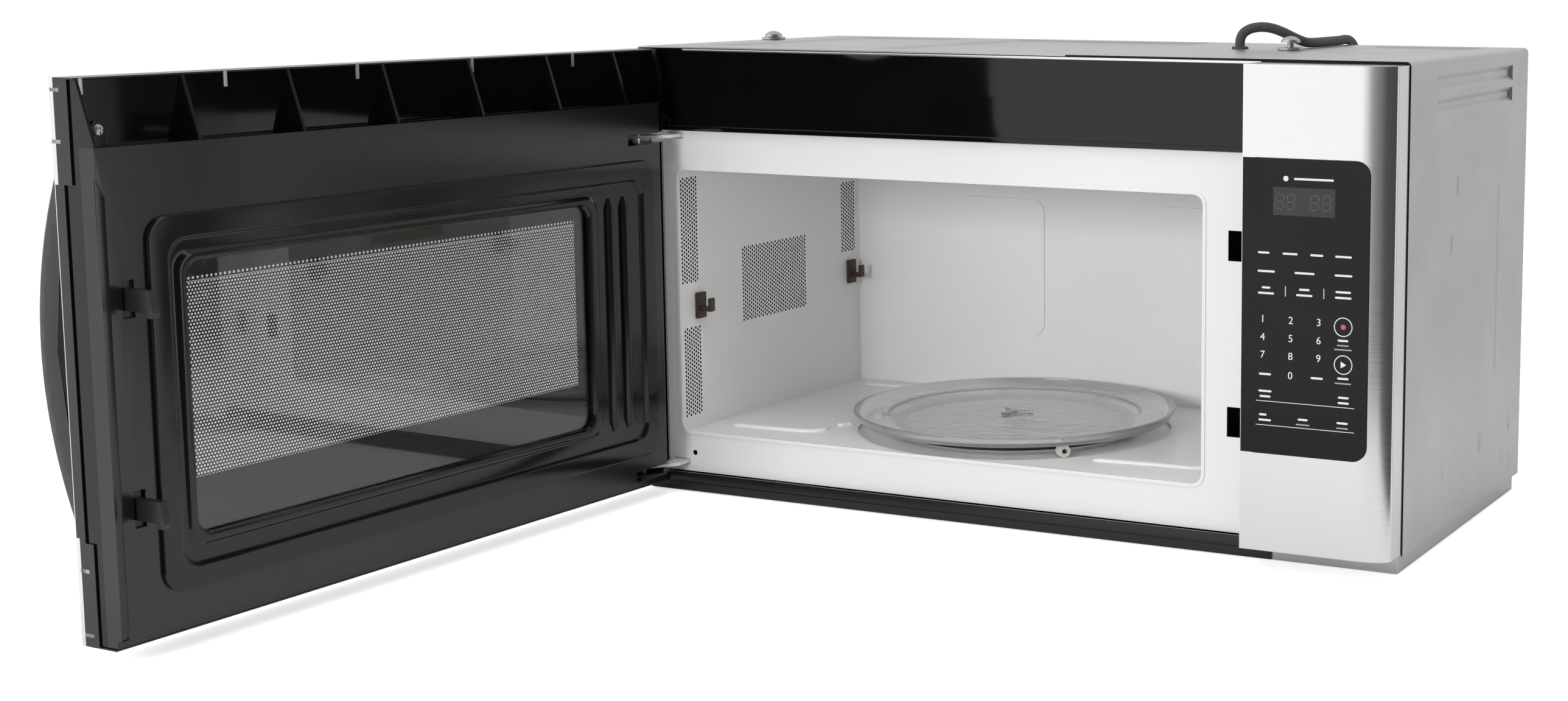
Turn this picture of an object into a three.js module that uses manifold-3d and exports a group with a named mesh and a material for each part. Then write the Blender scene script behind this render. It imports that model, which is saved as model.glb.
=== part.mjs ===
// Over the range microwave oven: a wide cabinet that hangs over a cooktop. Its side hinged door stands
// open in the model's rest position, as a service view of the oven shows it.
// Millimetres, +Z up. X = 0 is the middle of the cabinet, Y = 0 the face of the oven's front frame
// (+Y goes back to the wall), Z = 0 the underside of the base pan.
import * as THREE from 'three';
import { mergeVertices } from 'three/addons/utils/BufferGeometryUtils.js';
import Module from 'manifold-3d';

// ---- driving dimensions ----------------------------------------------------------------------------
const GAP = 0.3;               // clearance between pieces that touch
const SLIDE_GAP = 0.4;         // clearance round pieces that turn or slide
const SHEET = 1.2;             // sheet steel of the cabinet

const CABINET_WIDTH = 759;
const CABINET_TOP = 421.5;     // height of the wrap's top over the base
const WRAP_BOTTOM = 16;
const WRAP_FRONT = -8;
const WRAP_BACK = 342;
const WRAP_CORNER = 4;         // soft edge between top and sides

const PAN_HALF_WIDTH = 374.5;
const PAN_FRONT = -5.7;
const FRAME_LEFT = -366;       // left edge of the white front frame
const FRAME_RETURN = 10;       // depth of the frame's folded left edge
const FRAME_TOP = 343;
const OPENING = { left: -342, right: 195.7, bottom: 57, top: 306, corner: 9 };
const BEAD_WIDTH = 3.2;        // raised bead round the oven opening
const BEAD_HEIGHT = 1;

const CAVITY = { left: -348, right: 202, back: 332, floor: 53, top: 308 };
const TRACK_RADIUS = 152;      // round depression in the oven floor that the rollers run in
const TRACK_DROP = 3;
const EMBOSS_HEIGHT = 1.5;     // rounded rectangles pressed into the back wall
const HOOK = { length: 37, height: 29, depth: 13.4, frontY: 27, rearY: 285, bottom: 157.5 };

const TABLE_X = -73;           // turntable axis
const TABLE_Y = 168.3;
const TRAY_RADIUS = 156;
const TRAY_RIM_TOP = 73.7;
const TRAY_THICKNESS = 4.5;
const TRAY_DISH_RADIUS = 121;
const ROLLER_TRACK = 136;      // distance of the wheels from the turntable axis
const WHEEL_RADIUS = 6;
const WHEEL_WIDTH = 8;
const WHEEL_COUNT = 3;
const RING_RADIUS = 118;
const RING_WIDTH = 9;
const RING_HEIGHT = 4.4;
const WHEEL_PIN_RADIUS = 1.8;
const DRIVE_SHAFT_RADIUS = 5;

const PANEL_LEFT = 250;        // control panel
const PANEL_BOTTOM = 18;
const PANEL_TOP_DROP = 2.5;    // how far the control panel stops short of the cabinet's top
const PANEL_EDGE_RADIUS = 12;
const FACE_Y = -46;            // front face of door and control panel
const TOUCH = { left: 251.3, right: 359.7, bottom: 100.3, top: 343.7, corner: 12, thick: 1.5 };
const DISPLAY = { left: 277, right: 330.5, bottom: 297.5, top: 320.5, thick: 2.2 };
const PANEL_WALL = 3;
const BOARD_DEPTH = 1.6;
const BOSS_LENGTH = 3;

const FASCIA_LEFT = -363;      // black strip between front frame and top
const FASCIA_BOTTOM = 343.3;
const FASCIA_FRONT = -3;
const FASCIA_WALL = 1.5;
const FASCIA_DEPTH = 24;
const FASCIA_LEDGE = 347.7;

const TRIM_LEFT = -374.5;      // strip along the foot of the cabinet
const TRIM_RIGHT = 263.5;
const TRIM_THICK = 2;

const DOOR_RIGHT = 249;        // door, measured with the door shut
const DOOR_BOTTOM = 14;
const DOOR_TOP_DROP = 2;       // how far the door stops short of the cabinet's top
const DOOR_REAR = -6;
const DOOR_WALL = 2.5;
const DOOR_HINGE_REAR = -14;   // depth of the chamfered edge beside the hinge
const DOOR_FOOT_REAR = -10.5;  // the foot of the door stops short, in front of the bottom trim
const DOOR_FOOT_TOP = 21.5;
const HINGE_X = -364;
const HINGE_Y = -34;
const DOOR_REST_ANGLE = 92;    // how far the door stands open in the rest position, degrees
const RECESS_BACK = -22;       // open trough along the top of the door's inner frame
const RECESS_HEIGHT = 48;
const RECESS_LIP = 1.5;        // how far the rear edges of its gussets and ends start above its floor
const GUSSET_PLACES = [157, 58.7, -38.6, -135.2, -231, -320.5];
const GUSSET_THICK = 3;
const CHOKE = { left: -352, right: 210, bottom: 46, top: 320, corner: 17, rear: -2.5, flange: 3.2 };
const CHOKE_BODY = 5;          // how much smaller the body is than the flange, each side
const CHOKE_STEP = { left: -335, right: 193, bottom: 62, top: 303, depth: 1.8 };
const VIEW = { left: -262, right: 176.5, bottom: 84.5, top: 285, corner: 8 };
const WINDOW_LAP = 7;
const INNER_WINDOW_THICK = 1.6;
const OUTER_GLASS = { left: -318, right: 172, bottom: 74, top: 352, corner: 14, thick: 4 };
const HANDLE = { x: 226, width: 26, reach: -88, rise: 40.15, middle: 225, end: 156, edge: 5 };
const GRIP_THICK = 14;
const GRIP_RISE = 46.25;       // how far the grip's inner side runs back towards its ends

const LATCH_X = 226;
const LATCH_TRAVEL = 4;
const LATCH_BAR = { width: 8, deep: 9, bottom: 78, top: 296 };
const LATCH_HEIGHTS = [101.5, 252];   // underside of each hook
const LATCH_HOOK_HEIGHT = 20;
const LATCH_REACH = 22;        // how far the hooks enter the cabinet past Y = 0
const LATCH_SLOT = { left: 219, right: 234, below: 0.8, height: 25 };
const HINGE_PLATE_THICK = 3;
const HINGE_PLATE_HEIGHTS = [25.5, 337];
const HINGE_SLOT = { left: -352, right: -334, height: 6 };
const HINGE_PIN_RADIUS = 2.8;
const HINGE_PIN_REACH = 15;    // length of the pin each side of its plate
const POCKET_CLEAR = 3.2;      // room in the door above and below a hinge plate

const BLOWER = {
  y: 262, gap: 40, width: 100, wheelWidth: 78,
  headroom: 6.7, rimRoom: 10,  // over the scroll, and between scroll and wheel
  mouth: 118, channel: 34,     // length of the outlet from the axis, and its height
};
const BLOWER_SHEET = 1.5;
const BLOWER_SHAFT_RADIUS = 4;
const BLOWER_INLET_LAP = 8;    // how much smaller the inlet is than the wheel
const BLOWER_MOTOR_STEP = 16;  // how much smaller the motor is than the scroll
const FAN = { x: 286, z: 190, bore: 57, wheel: 54, half: 63, front: 300, hub: 15 };
const FAN_MOTOR = { radius: 22, depth: 14 };
const FAN_SPOKE = { half: 5, depth: 5, lap: 2 };
const FAN_LEG = { width: 14, depth: 3 };
const FAN_BLADE = { thick: 2, chord: 26, tilt: 0.5, count: 5 };
const FAN_SHAFT_RADIUS = 2.4;
const TRANSFORMER = { width: 96, depth: 92, height: 82, y: 70, coil: 14, coilInset: 18 };
const CAPACITOR = { x: 342, y: 215, radius: 24, depth: 72, height: 88 };
const CAPACITOR_TAB = { spread: 28, width: 6, thick: 2, height: 9 };
const CHARCOAL = { width: 280, thick: 20, headroom: 11.4 };
const MAGNETRON = { width: 88, bottom: 186, top: 274 };
const GUIDE = { depth: 26, front: 104, back: 236, bottom: 172, top: 290, wall: 1.2 };
const PORT = { front: 126, back: 214, bottom: 198, top: 262 };
const PORT_COVER_THICK = 1;
const BRACKET = { left: 212, right: 242, bottom: 90, top: 288, depth: 36, wall: 4 };
const PLUNGER_RADIUS = 2.6;

const FILTER = { width: 190, depth: 168, thick: 6, x: 190, y: 150, lap: 9, travel: 8 };
const LENS = { width: 72, depth: 52, thick: 2.4, x: 262, y: 38, lap: 5 };

const CORD_RADIUS = 4.5;
const CORD_HOLE_RADIUS = 8;
const SCREW_LEFT = [-365, 200];
const SCREW_RIGHT = [204, 180];

// ---- worked-out places -----------------------------------------------------------------------------
const HALF = CABINET_WIDTH / 2;
const INSIDE_X = HALF - SHEET;
const INSIDE_TOP = CABINET_TOP - SHEET;
const INSIDE_BACK = WRAP_BACK - SHEET - GAP;
const PANEL_TOP = CABINET_TOP - PANEL_TOP_DROP;
const DOOR_TOP = CABINET_TOP - DOOR_TOP_DROP;
const RECESS_BOTTOM = DOOR_TOP - RECESS_HEIGHT;
const PAN_TOP = WRAP_BOTTOM + GAP + SHEET;
const CHASSIS_BOTTOM = PAN_TOP + GAP;
const CHASSIS_TOP = CHASSIS_BOTTOM + SHEET;
const BEHIND_FRAME = SHEET + GAP;
const TRACK_FLOOR = CAVITY.floor - TRACK_DROP;
const CAVITY_OUTSIDE_TOP = CAVITY.top + SHEET;
const BLOWER_RADIUS = (INSIDE_TOP - BLOWER.headroom - CAVITY_OUTSIDE_TOP - SLIDE_GAP) / 2;
const BLOWER_WHEEL = BLOWER_RADIUS - BLOWER.rimRoom;
const BLOWER_Z = CAVITY_OUTSIDE_TOP + SLIDE_GAP + BLOWER_RADIUS;
const TRAY_UNDER = TRACK_FLOOR + 2 * WHEEL_RADIUS + 2 * GAP;
const BAY_LEFT = CAVITY.right + SHEET + GAP;
const BAY_MIDDLE = (BAY_LEFT + INSIDE_X) / 2;

// ---- solids ----------------------------------------------------------------------------------------
const wasm = await Module();
wasm.setup();

function solid(geometry) {
  const bare = geometry.clone();
  bare.deleteAttribute('normal');
  bare.deleteAttribute('uv');
  const merged = mergeVertices(bare, 1e-4);
  return new wasm.Manifold(new wasm.Mesh({
    numProp: 3,
    vertProperties: new Float32Array(merged.attributes.position.array),
    triVerts: new Uint32Array(merged.index.array),
  }));
}

function join(first, ...others) {
  return others.reduce((whole, piece) => whole.add(piece), first);
}

function cut(first, ...others) {
  return others.reduce((whole, piece) => whole.subtract(piece), first);
}

function block(x0, x1, y0, y1, z0, z1) {
  const box = new THREE.BoxGeometry(x1 - x0, y1 - y0, z1 - z0);
  return solid(box.translate((x0 + x1) / 2, (y0 + y1) / 2, (z0 + z1) / 2));
}

function rod(axis, [x, y, z], radius, from, to, sides = 24) {
  const bar = new THREE.CylinderGeometry(radius, radius, to - from, sides);
  const middle = (from + to) / 2;
  if (axis === 'x') bar.rotateZ(-Math.PI / 2).translate(middle, y, z);
  else if (axis === 'y') bar.translate(x, middle, z);
  else bar.rotateX(Math.PI / 2).translate(x, y, middle);
  return solid(bar);
}

// A flat outline pushed along one axis. Its own two axes are (y,z), (x,z) or (x,y).
const PUSH_FRAMES = {
  x: [[0, 1, 0], [0, 0, 1], [1, 0, 0]],
  y: [[1, 0, 0], [0, 0, 1], [0, -1, 0]],
  z: [[1, 0, 0], [0, 1, 0], [0, 0, 1]],
};

function push(shape, axis, from, to, curveSegments = 4) {
  const body = new THREE.ExtrudeGeometry(shape, { depth: to - from, bevelEnabled: false, curveSegments });
  const frame = PUSH_FRAMES[axis].map((v) => new THREE.Vector3(...v));
  body.applyMatrix4(new THREE.Matrix4().makeBasis(...frame));
  const shift = { x: [from, 0, 0], y: [0, to, 0], z: [0, 0, from] }[axis];
  return solid(body.translate(...shift));
}

function outline(points) {
  return new THREE.Shape(points.map(([u, v]) => new THREE.Vector2(u, v)));
}

function rounded(u0, u1, v0, v1, r) {
  const shape = new THREE.Shape();
  shape.moveTo(u0 + r, v0);
  shape.lineTo(u1 - r, v0);
  shape.absarc(u1 - r, v0 + r, r, -Math.PI / 2, 0);
  shape.lineTo(u1, v1 - r);
  shape.absarc(u1 - r, v1 - r, r, 0, Math.PI / 2);
  shape.lineTo(u0 + r, v1);
  shape.absarc(u0 + r, v1 - r, r, Math.PI / 2, Math.PI);
  shape.lineTo(u0, v0 + r);
  shape.absarc(u0 + r, v0 + r, r, Math.PI, Math.PI * 1.5);
  return shape;
}

function plate(box, y0, y1, grow = 0) {
  const { left, right, bottom, top, corner = 1 } = box;
  const r = Math.max(corner + grow, 0.5);
  return push(rounded(left - grow, right + grow, bottom - grow, top + grow, r), 'y', y0, y1);
}

function turned(profile, [x, y], sides = 48) {
  const points = profile.map(([r, z]) => new THREE.Vector2(r, z));
  const lathe = new THREE.LatheGeometry(points, sides);
  return solid(lathe.rotateX(Math.PI / 2).translate(x, y, 0));
}

// ---- materials and scene ---------------------------------------------------------------------------
function finish(color, roughness, metalness, opacity = 1) {
  return new THREE.MeshStandardMaterial({ color, roughness, metalness, opacity, transparent: opacity < 1 });
}

const galvanised = finish('#c9c9c9', 0.42, 0.8);
const darkSteel = finish('#7c7d7f', 0.5, 0.7);
const enamel = finish('#d9dadb', 0.3, 0.0);
const brushed = finish('#c6c7c8', 0.34, 0.9);
const glossBlack = finish('#0f0f11', 0.12, 0.0);
const satinBlack = finish('#29282a', 0.45, 0.0);
const greyTrim = finish('#97989a', 0.4, 0.6);
const brown = finish('#3a2a22', 0.5, 0.0);
const clearGlass = finish('#dfe8e6', 0.05, 0.0, 0.45);
const smokedGlass = finish('#141416', 0.06, 0.0);
const whitePlastic = finish('#e6e6e4', 0.5, 0.0);
const circuitGreen = finish('#2c5a3c', 0.6, 0.0);
const iron = finish('#5f6164', 0.6, 0.6);
const mica = finish('#b8ad98', 0.7, 0.0);
const aluminiumMesh = finish('#a9abad', 0.5, 0.8);
const carbon = finish('#242526', 0.9, 0.0);
const cordBlack = finish('#3b3a3d', 0.6, 0.0);

const oven = new THREE.Group();
const cabinet = new THREE.Group();
const hinge = new THREE.Group();
const door = new THREE.Group();
oven.add(cabinet, hinge);
hinge.position.set(HINGE_X, HINGE_Y, 0);
hinge.rotation.z = THREE.MathUtils.degToRad(-DOOR_REST_ANGLE);
door.position.set(-HINGE_X, -HINGE_Y, 0);
hinge.add(door);

function place(name, body, material, group = cabinet) {
  const made = body.getMesh();
  const geometry = new THREE.BufferGeometry();
  geometry.setAttribute('position', new THREE.BufferAttribute(new Float32Array(made.vertProperties), 3));
  geometry.setIndex(new THREE.BufferAttribute(new Uint32Array(made.triVerts), 1));
  geometry.computeVertexNormals();
  const mesh = new THREE.Mesh(geometry, material);
  mesh.name = name;
  group.add(mesh);
}

// ---- cabinet sheets --------------------------------------------------------------------------------
function archSolid(inset, y0, y1, bottom) {
  const w = HALF - inset;
  const top = CABINET_TOP - inset;
  const r = Math.max(WRAP_CORNER - inset, 0.5);
  const arch = new THREE.Shape();
  arch.moveTo(-w, bottom);
  arch.lineTo(w, bottom);
  arch.lineTo(w, top - r);
  arch.absarc(w - r, top - r, r, 0, Math.PI / 2);
  arch.lineTo(-w + r, top);
  arch.absarc(-w + r, top - r, r, Math.PI / 2, Math.PI);
  return push(arch, 'y', y0, y1);
}

const SCREW_NECK_RADIUS = 3.2;

function makeOuterWrap() {
  const shell = cut(
    archSolid(0, WRAP_FRONT, WRAP_BACK, WRAP_BOTTOM),
    archSolid(SHEET, WRAP_FRONT - 1, WRAP_BACK + 1, WRAP_BOTTOM - 1),
  );
  const holeFrom = INSIDE_TOP - 2;
  const holeTo = CABINET_TOP + 2;
  const screwHoles = [SCREW_LEFT, SCREW_RIGHT].map(([x, y]) =>
    rod('z', [x, y, 0], SCREW_NECK_RADIUS + GAP, holeFrom, holeTo, 16));
  const cordHole = rod('z', [CORD_EXIT[0], CORD_EXIT[1], 0], CORD_HOLE_RADIUS, holeFrom, holeTo, 20);
  place('outer_wrap', cut(shell, cordHole, ...screwHoles), galvanised);
}

const BACK_VENT = { count: 9, pitch: 12, width: 96, height: 5 };
const HANG_SLOT = { width: 26, height: 9, z: 34, x: [-300, -110, 110, 300] };

function makeBackPanel() {
  const y0 = WRAP_BACK - SHEET;
  let sheet = archSolid(SHEET + GAP, y0, WRAP_BACK, WRAP_BOTTOM + GAP);
  for (let i = 0; i < BACK_VENT.count; i += 1) {
    const z = FAN.z + (i - (BACK_VENT.count - 1) / 2) * BACK_VENT.pitch;
    const half = BACK_VENT.width / 2;
    sheet = cut(sheet, block(FAN.x - half, FAN.x + half, y0 - 1, WRAP_BACK + 1, z, z + BACK_VENT.height));
  }
  for (const x of HANG_SLOT.x) {
    const { width, height, z } = HANG_SLOT;
    sheet = cut(sheet, block(x - width / 2, x + width / 2, y0 - 1, WRAP_BACK + 1, z, z + height));
  }
  place('back_panel', sheet, darkSteel);
}

function makeBasePan() {
  const back = INSIDE_BACK - GAP;
  const w = PAN_HALF_WIDTH;
  const tray = cut(
    block(-w, w, PAN_FRONT, back, 0, WRAP_BOTTOM + GAP + 0.5),
    block(-w + SHEET, w - SHEET, PAN_FRONT + SHEET, back - SHEET, SHEET, PAN_TOP + 1),
  );
  const lip = cut(
    block(-INSIDE_X + GAP, INSIDE_X - GAP, PAN_FRONT, back, WRAP_BOTTOM + GAP, PAN_TOP),
    block(-w + SHEET, w - SHEET, PAN_FRONT + SHEET, back - SHEET, 0, PAN_TOP + 1),
  );
  let pan = join(tray, lip);
  for (const side of [-1, 1]) {
    const fx = side * FILTER.x;
    const fw = FILTER.width / 2 - FILTER.lap;
    const f0 = FILTER.y + FILTER.lap + FILTER.travel;
    const f1 = FILTER.y + FILTER.depth - FILTER.lap;
    pan = cut(pan, block(fx - fw, fx + fw, f0, f1, -1, SHEET + 1));
    const lx = side * LENS.x;
    const lw = LENS.width / 2 - LENS.lap;
    const l0 = LENS.y + LENS.lap;
    const l1 = LENS.y + LENS.depth - LENS.lap;
    pan = cut(pan, block(lx - lw, lx + lw, l0, l1, -1, SHEET + 1));
  }
  place('base_pan', pan, galvanised);
}

function makeChassisPlate() {
  const side = INSIDE_X - GAP;
  const sheet = block(-side, side, BEHIND_FRAME, INSIDE_BACK, CHASSIS_BOTTOM, CHASSIS_TOP);
  const airFront = 60;
  const airBack = 300;
  const airLeft = -INSIDE_X + 5;
  const airRight = CAVITY.left - SHEET - 3;
  const airway = block(airLeft, airRight, airFront, airBack, 0, CHASSIS_TOP + 1);
  place('chassis_plate', cut(sheet, airway), darkSteel);
}

function makeFrontFrame() {
  const bottom = PAN_TOP + GAP;
  const right = INSIDE_X - GAP;
  const left = -INSIDE_X + GAP;
  const face = block(FRAME_LEFT, right, 0, SHEET, bottom, FRAME_TOP);
  const fold = block(FRAME_LEFT, FRAME_LEFT + SHEET, 0, FRAME_RETURN, bottom, FRAME_TOP);
  const seat = block(left, FRAME_LEFT + SHEET, FRAME_RETURN - SHEET, FRAME_RETURN,
    CHASSIS_TOP + GAP, FRAME_TOP);
  const foldCut = block(left - 1, FRAME_LEFT + 2 * SHEET, BEHIND_FRAME - GAP, FRAME_RETURN + 1,
    0, CHASSIS_TOP + GAP);
  let frame = join(face, cut(join(fold, seat), foldCut), plate(OPENING, -BEAD_HEIGHT, SHEET, BEAD_WIDTH));
  frame = cut(frame, plate(OPENING, -BEAD_HEIGHT - 1, SHEET + 1));
  for (const z of LATCH_HEIGHTS) {
    const low = z - LATCH_SLOT.below;
    frame = cut(frame, block(LATCH_SLOT.left, LATCH_SLOT.right, -2, SHEET + 1, low, z + LATCH_SLOT.height));
  }
  for (const z of HINGE_PLATE_HEIGHTS) {
    const z0 = z - (HINGE_SLOT.height - HINGE_PLATE_THICK) / 2;
    frame = cut(frame, block(HINGE_SLOT.left, HINGE_SLOT.right, -2, SHEET + 1, z0, z0 + HINGE_SLOT.height));
  }
  place('front_frame', frame, enamel);
}

function makeFascia() {
  const right = INSIDE_X - WRAP_CORNER;
  const top = INSIDE_TOP - GAP;
  const back = FASCIA_FRONT + FASCIA_DEPTH;
  const notch = 15;
  const face = outline([
    [FASCIA_LEFT + notch, FASCIA_BOTTOM], [right, FASCIA_BOTTOM], [right, top],
    [FASCIA_LEFT, top], [FASCIA_LEFT, FASCIA_LEDGE + notch],
    [FASCIA_LEFT + notch, FASCIA_LEDGE + 6],
  ]);
  const shell = cut(
    push(face, 'y', FASCIA_FRONT, back),
    block(FASCIA_LEFT - 1, right + 1, FASCIA_FRONT + FASCIA_WALL, back + 1,
      FASCIA_BOTTOM + FASCIA_WALL, top - FASCIA_WALL),
  );
  const ledge = block(FASCIA_LEFT + notch, right, FASCIA_FRONT - 1, FASCIA_FRONT + 1,
    FASCIA_BOTTOM, FASCIA_LEDGE);
  place('top_fascia', join(shell, ledge), glossBlack);
}

function makeBottomTrim() {
  const front = WRAP_FRONT;
  const rear = PAN_FRONT - GAP;
  const low = GAP;
  const groove = 8.2;
  const grooveTop = 9.8;
  const high = PANEL_BOTTOM - GAP;
  const strip = outline([
    [rear, low], [front + 1, low], [front, low + 1.2], [front, groove], [front + 1.2, groove],
    [front + 1.2, grooveTop], [front, grooveTop], [front, WRAP_BOTTOM - 5], [front + 0.6, WRAP_BOTTOM],
    [front + TRIM_THICK - 0.4, high], [rear, high],
  ]);
  place('bottom_trim', push(strip, 'x', TRIM_LEFT, TRIM_RIGHT), greyTrim);
}

// ---- oven cavity -----------------------------------------------------------------------------------
const DRIVE_HOLE_RADIUS = 8;
const BACK_PADS = [
  { left: -230, right: -124, bottom: 114, top: 257, corner: 14 },
  { left: -7, right: 150, bottom: 109, top: 256, corner: 14 },
];
const LAMP = { y: 268, z: 272, bulb: 11, port: 15, base: 15, length: 34 };

function makeCavity() {
  const { left, right, back, floor, top } = CAVITY;
  const axis = [TABLE_X, TABLE_Y, 0];
  const shell = block(left - SHEET, right + SHEET, BEHIND_FRAME, back + SHEET, floor - SHEET, top + SHEET);
  const under = TRACK_FLOOR - SHEET;
  const drop = rod('z', axis, TRACK_RADIUS + SHEET, under, floor - SHEET / 2, 40);
  let box = cut(
    join(shell, drop),
    block(left, right, 0, back, floor, top),
    rod('z', axis, TRACK_RADIUS, TRACK_FLOOR, floor + 1, 40),
    rod('z', axis, DRIVE_HOLE_RADIUS, under - 1, floor, 16),
    block(right - 1, right + SHEET + 1, PORT.front, PORT.back, PORT.bottom, PORT.top),
    rod('x', [0, LAMP.y, LAMP.z], LAMP.port, right - 1, right + SHEET + 1, 16),
  );
  for (const pad of BACK_PADS) {
    box = join(box, plate(pad, back - EMBOSS_HEIGHT, back + SHEET / 2));
  }
  place('oven_cavity', box, enamel);
}

function makeRackHooks() {
  const { length, height, depth, bottom } = HOOK;
  const lip = 7;
  const rest = 11;
  const hookShape = (y) => outline([
    [y, bottom], [y + length, bottom], [y + length, bottom + height],
    [y + length - lip, bottom + height], [y + length - lip, bottom + rest],
    [y + lip, bottom + rest], [y + lip, bottom + height], [y, bottom + height],
  ]);
  const backing = 4;
  for (const [end, y] of [['front', HOOK.frontY], ['rear', HOOK.rearY]]) {
    for (const [side, wall, inward] of [['left', CAVITY.left, 1], ['right', CAVITY.right, -1]]) {
      const x0 = wall + inward * GAP;
      const x1 = wall + inward * depth;
      const xb = wall + inward * backing;
      const hook = push(hookShape(y), 'x', Math.min(x0, x1), Math.max(x0, x1));
      const back = block(Math.min(x0, xb), Math.max(x0, xb), y, y + length, bottom, bottom + height);
      place(`rack_hook_${end}_${side}`, join(hook, back), brown);
    }
  }
}

function makePortCover() {
  const lap = 9;
  const x1 = CAVITY.right - GAP;
  place('waveguide_cover', block(x1 - PORT_COVER_THICK, x1, PORT.front - lap, PORT.back + lap,
    PORT.bottom - lap, PORT.top + lap), mica);
}

// ---- turntable -------------------------------------------------------------------------------------
function makeTray() {
  const rim = TRAY_RADIUS;
  const t = TRAY_THICKNESS;
  const low = TRAY_UNDER;
  const hub = 17;
  const coupling = 12;
  const profile = [
    [0, low + 1.5], [coupling, low + 1.5], [coupling, low], [rim - 12, low], [rim - 4, low + 2],
    [rim, TRAY_RIM_TOP - 2], [rim - 2.4, TRAY_RIM_TOP], [rim - 5, TRAY_RIM_TOP - 1.6],
    [rim - 10, low + t + 1.5], [TRAY_DISH_RADIUS + 3, low + t + 1.5], [TRAY_DISH_RADIUS, low + t],
    [hub, low + t], [hub - 2, low + t + 1], [0, low + t + 1],
  ];
  place('turntable_tray', turned(profile, [TABLE_X, TABLE_Y], 44), clearGlass);
}

function makeCoupler() {
  const top = TRAY_UNDER + 1.5 - GAP;
  const wing = 10.5;
  const wings = [0, 1, 2].map((i) => {
    const bar = new THREE.BoxGeometry(wing, 4.4, top - TRACK_FLOOR - 2.6);
    bar.translate(wing / 2, 0, (top + TRACK_FLOOR + 2.6) / 2);
    bar.rotateZ((i * 2 * Math.PI) / 3);
    return solid(bar.translate(TABLE_X, TABLE_Y, 0));
  });
  const shaft = rod('z', [TABLE_X, TABLE_Y, 0], DRIVE_SHAFT_RADIUS, MOTOR_TOP + GAP, top, 16);
  place('drive_coupler', join(shaft, ...wings), whitePlastic);
}

function wheelAngle(i) {
  return THREE.MathUtils.degToRad(-43.4 + (i * 360) / WHEEL_COUNT);
}

const WHEEL_AXLE_Z = TRACK_FLOOR + GAP + WHEEL_RADIUS;

function radial(geometry, i) {
  geometry.rotateZ(wheelAngle(i));
  return solid(geometry.translate(TABLE_X, TABLE_Y, WHEEL_AXLE_Z));
}

function makeRollerRing() {
  const half = RING_HEIGHT / 2;
  const inner = RING_RADIUS - RING_WIDTH;
  let ring = turned([
    [inner, WHEEL_AXLE_Z - half], [RING_RADIUS, WHEEL_AXLE_Z - half],
    [RING_RADIUS, WHEEL_AXLE_Z + half], [inner, WHEEL_AXLE_Z + half], [inner, WHEEL_AXLE_Z - half],
  ], [TABLE_X, TABLE_Y], 48);
  const pinFrom = RING_RADIUS - RING_WIDTH / 2;
  const pinTo = ROLLER_TRACK + WHEEL_WIDTH / 2 + 1;
  for (let i = 0; i < WHEEL_COUNT; i += 1) {
    const pin = new THREE.CylinderGeometry(WHEEL_PIN_RADIUS, WHEEL_PIN_RADIUS, pinTo - pinFrom, 12);
    ring = join(ring, radial(pin.rotateZ(-Math.PI / 2).translate((pinFrom + pinTo) / 2, 0, 0), i));
  }
  place('roller_ring', ring, satinBlack);
}

function makeRollerWheels() {
  for (let i = 0; i < WHEEL_COUNT; i += 1) {
    const tyre = new THREE.CylinderGeometry(WHEEL_RADIUS, WHEEL_RADIUS, WHEEL_WIDTH, 20);
    const bore = new THREE.CylinderGeometry(WHEEL_PIN_RADIUS + SLIDE_GAP, WHEEL_PIN_RADIUS + SLIDE_GAP,
      WHEEL_WIDTH + 2, 12);
    tyre.rotateZ(-Math.PI / 2).translate(ROLLER_TRACK, 0, 0);
    bore.rotateZ(-Math.PI / 2).translate(ROLLER_TRACK, 0, 0);
    place(`roller_wheel_${i + 1}`, cut(radial(tyre, i), radial(bore, i)), satinBlack);
  }
}

const MOTOR_TOP = TRACK_FLOOR - SHEET - GAP;

function makeTurntableMotor() {
  const can = rod('z', [TABLE_X, TABLE_Y, 0], 25, CHASSIS_TOP + GAP, MOTOR_TOP, 24);
  const ears = block(TABLE_X - 36, TABLE_X + 36, TABLE_Y - 8, TABLE_Y + 8, MOTOR_TOP - 1.5, MOTOR_TOP);
  place('turntable_motor', join(can, ears), iron);
}

// ---- control side ----------------------------------------------------------------------------------
function panelSection(inset) {
  const r = Math.max(PANEL_EDGE_RADIUS - inset, 1);
  const left = PANEL_LEFT + inset;
  const right = HALF - 1 - inset;
  const front = FACE_Y + inset;
  const rear = inset > 0 ? 1 : -GAP;
  const section = new THREE.Shape();
  section.moveTo(left, rear);
  section.lineTo(left, front);
  section.lineTo(right - r, front);
  section.absarc(right - r, front + r, r, -Math.PI / 2, 0);
  section.lineTo(right, WRAP_FRONT - GAP);
  section.lineTo(Math.min(right, INSIDE_X - 1), WRAP_FRONT - GAP);
  section.lineTo(Math.min(right, INSIDE_X - 1), rear);
  return section;
}

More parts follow.
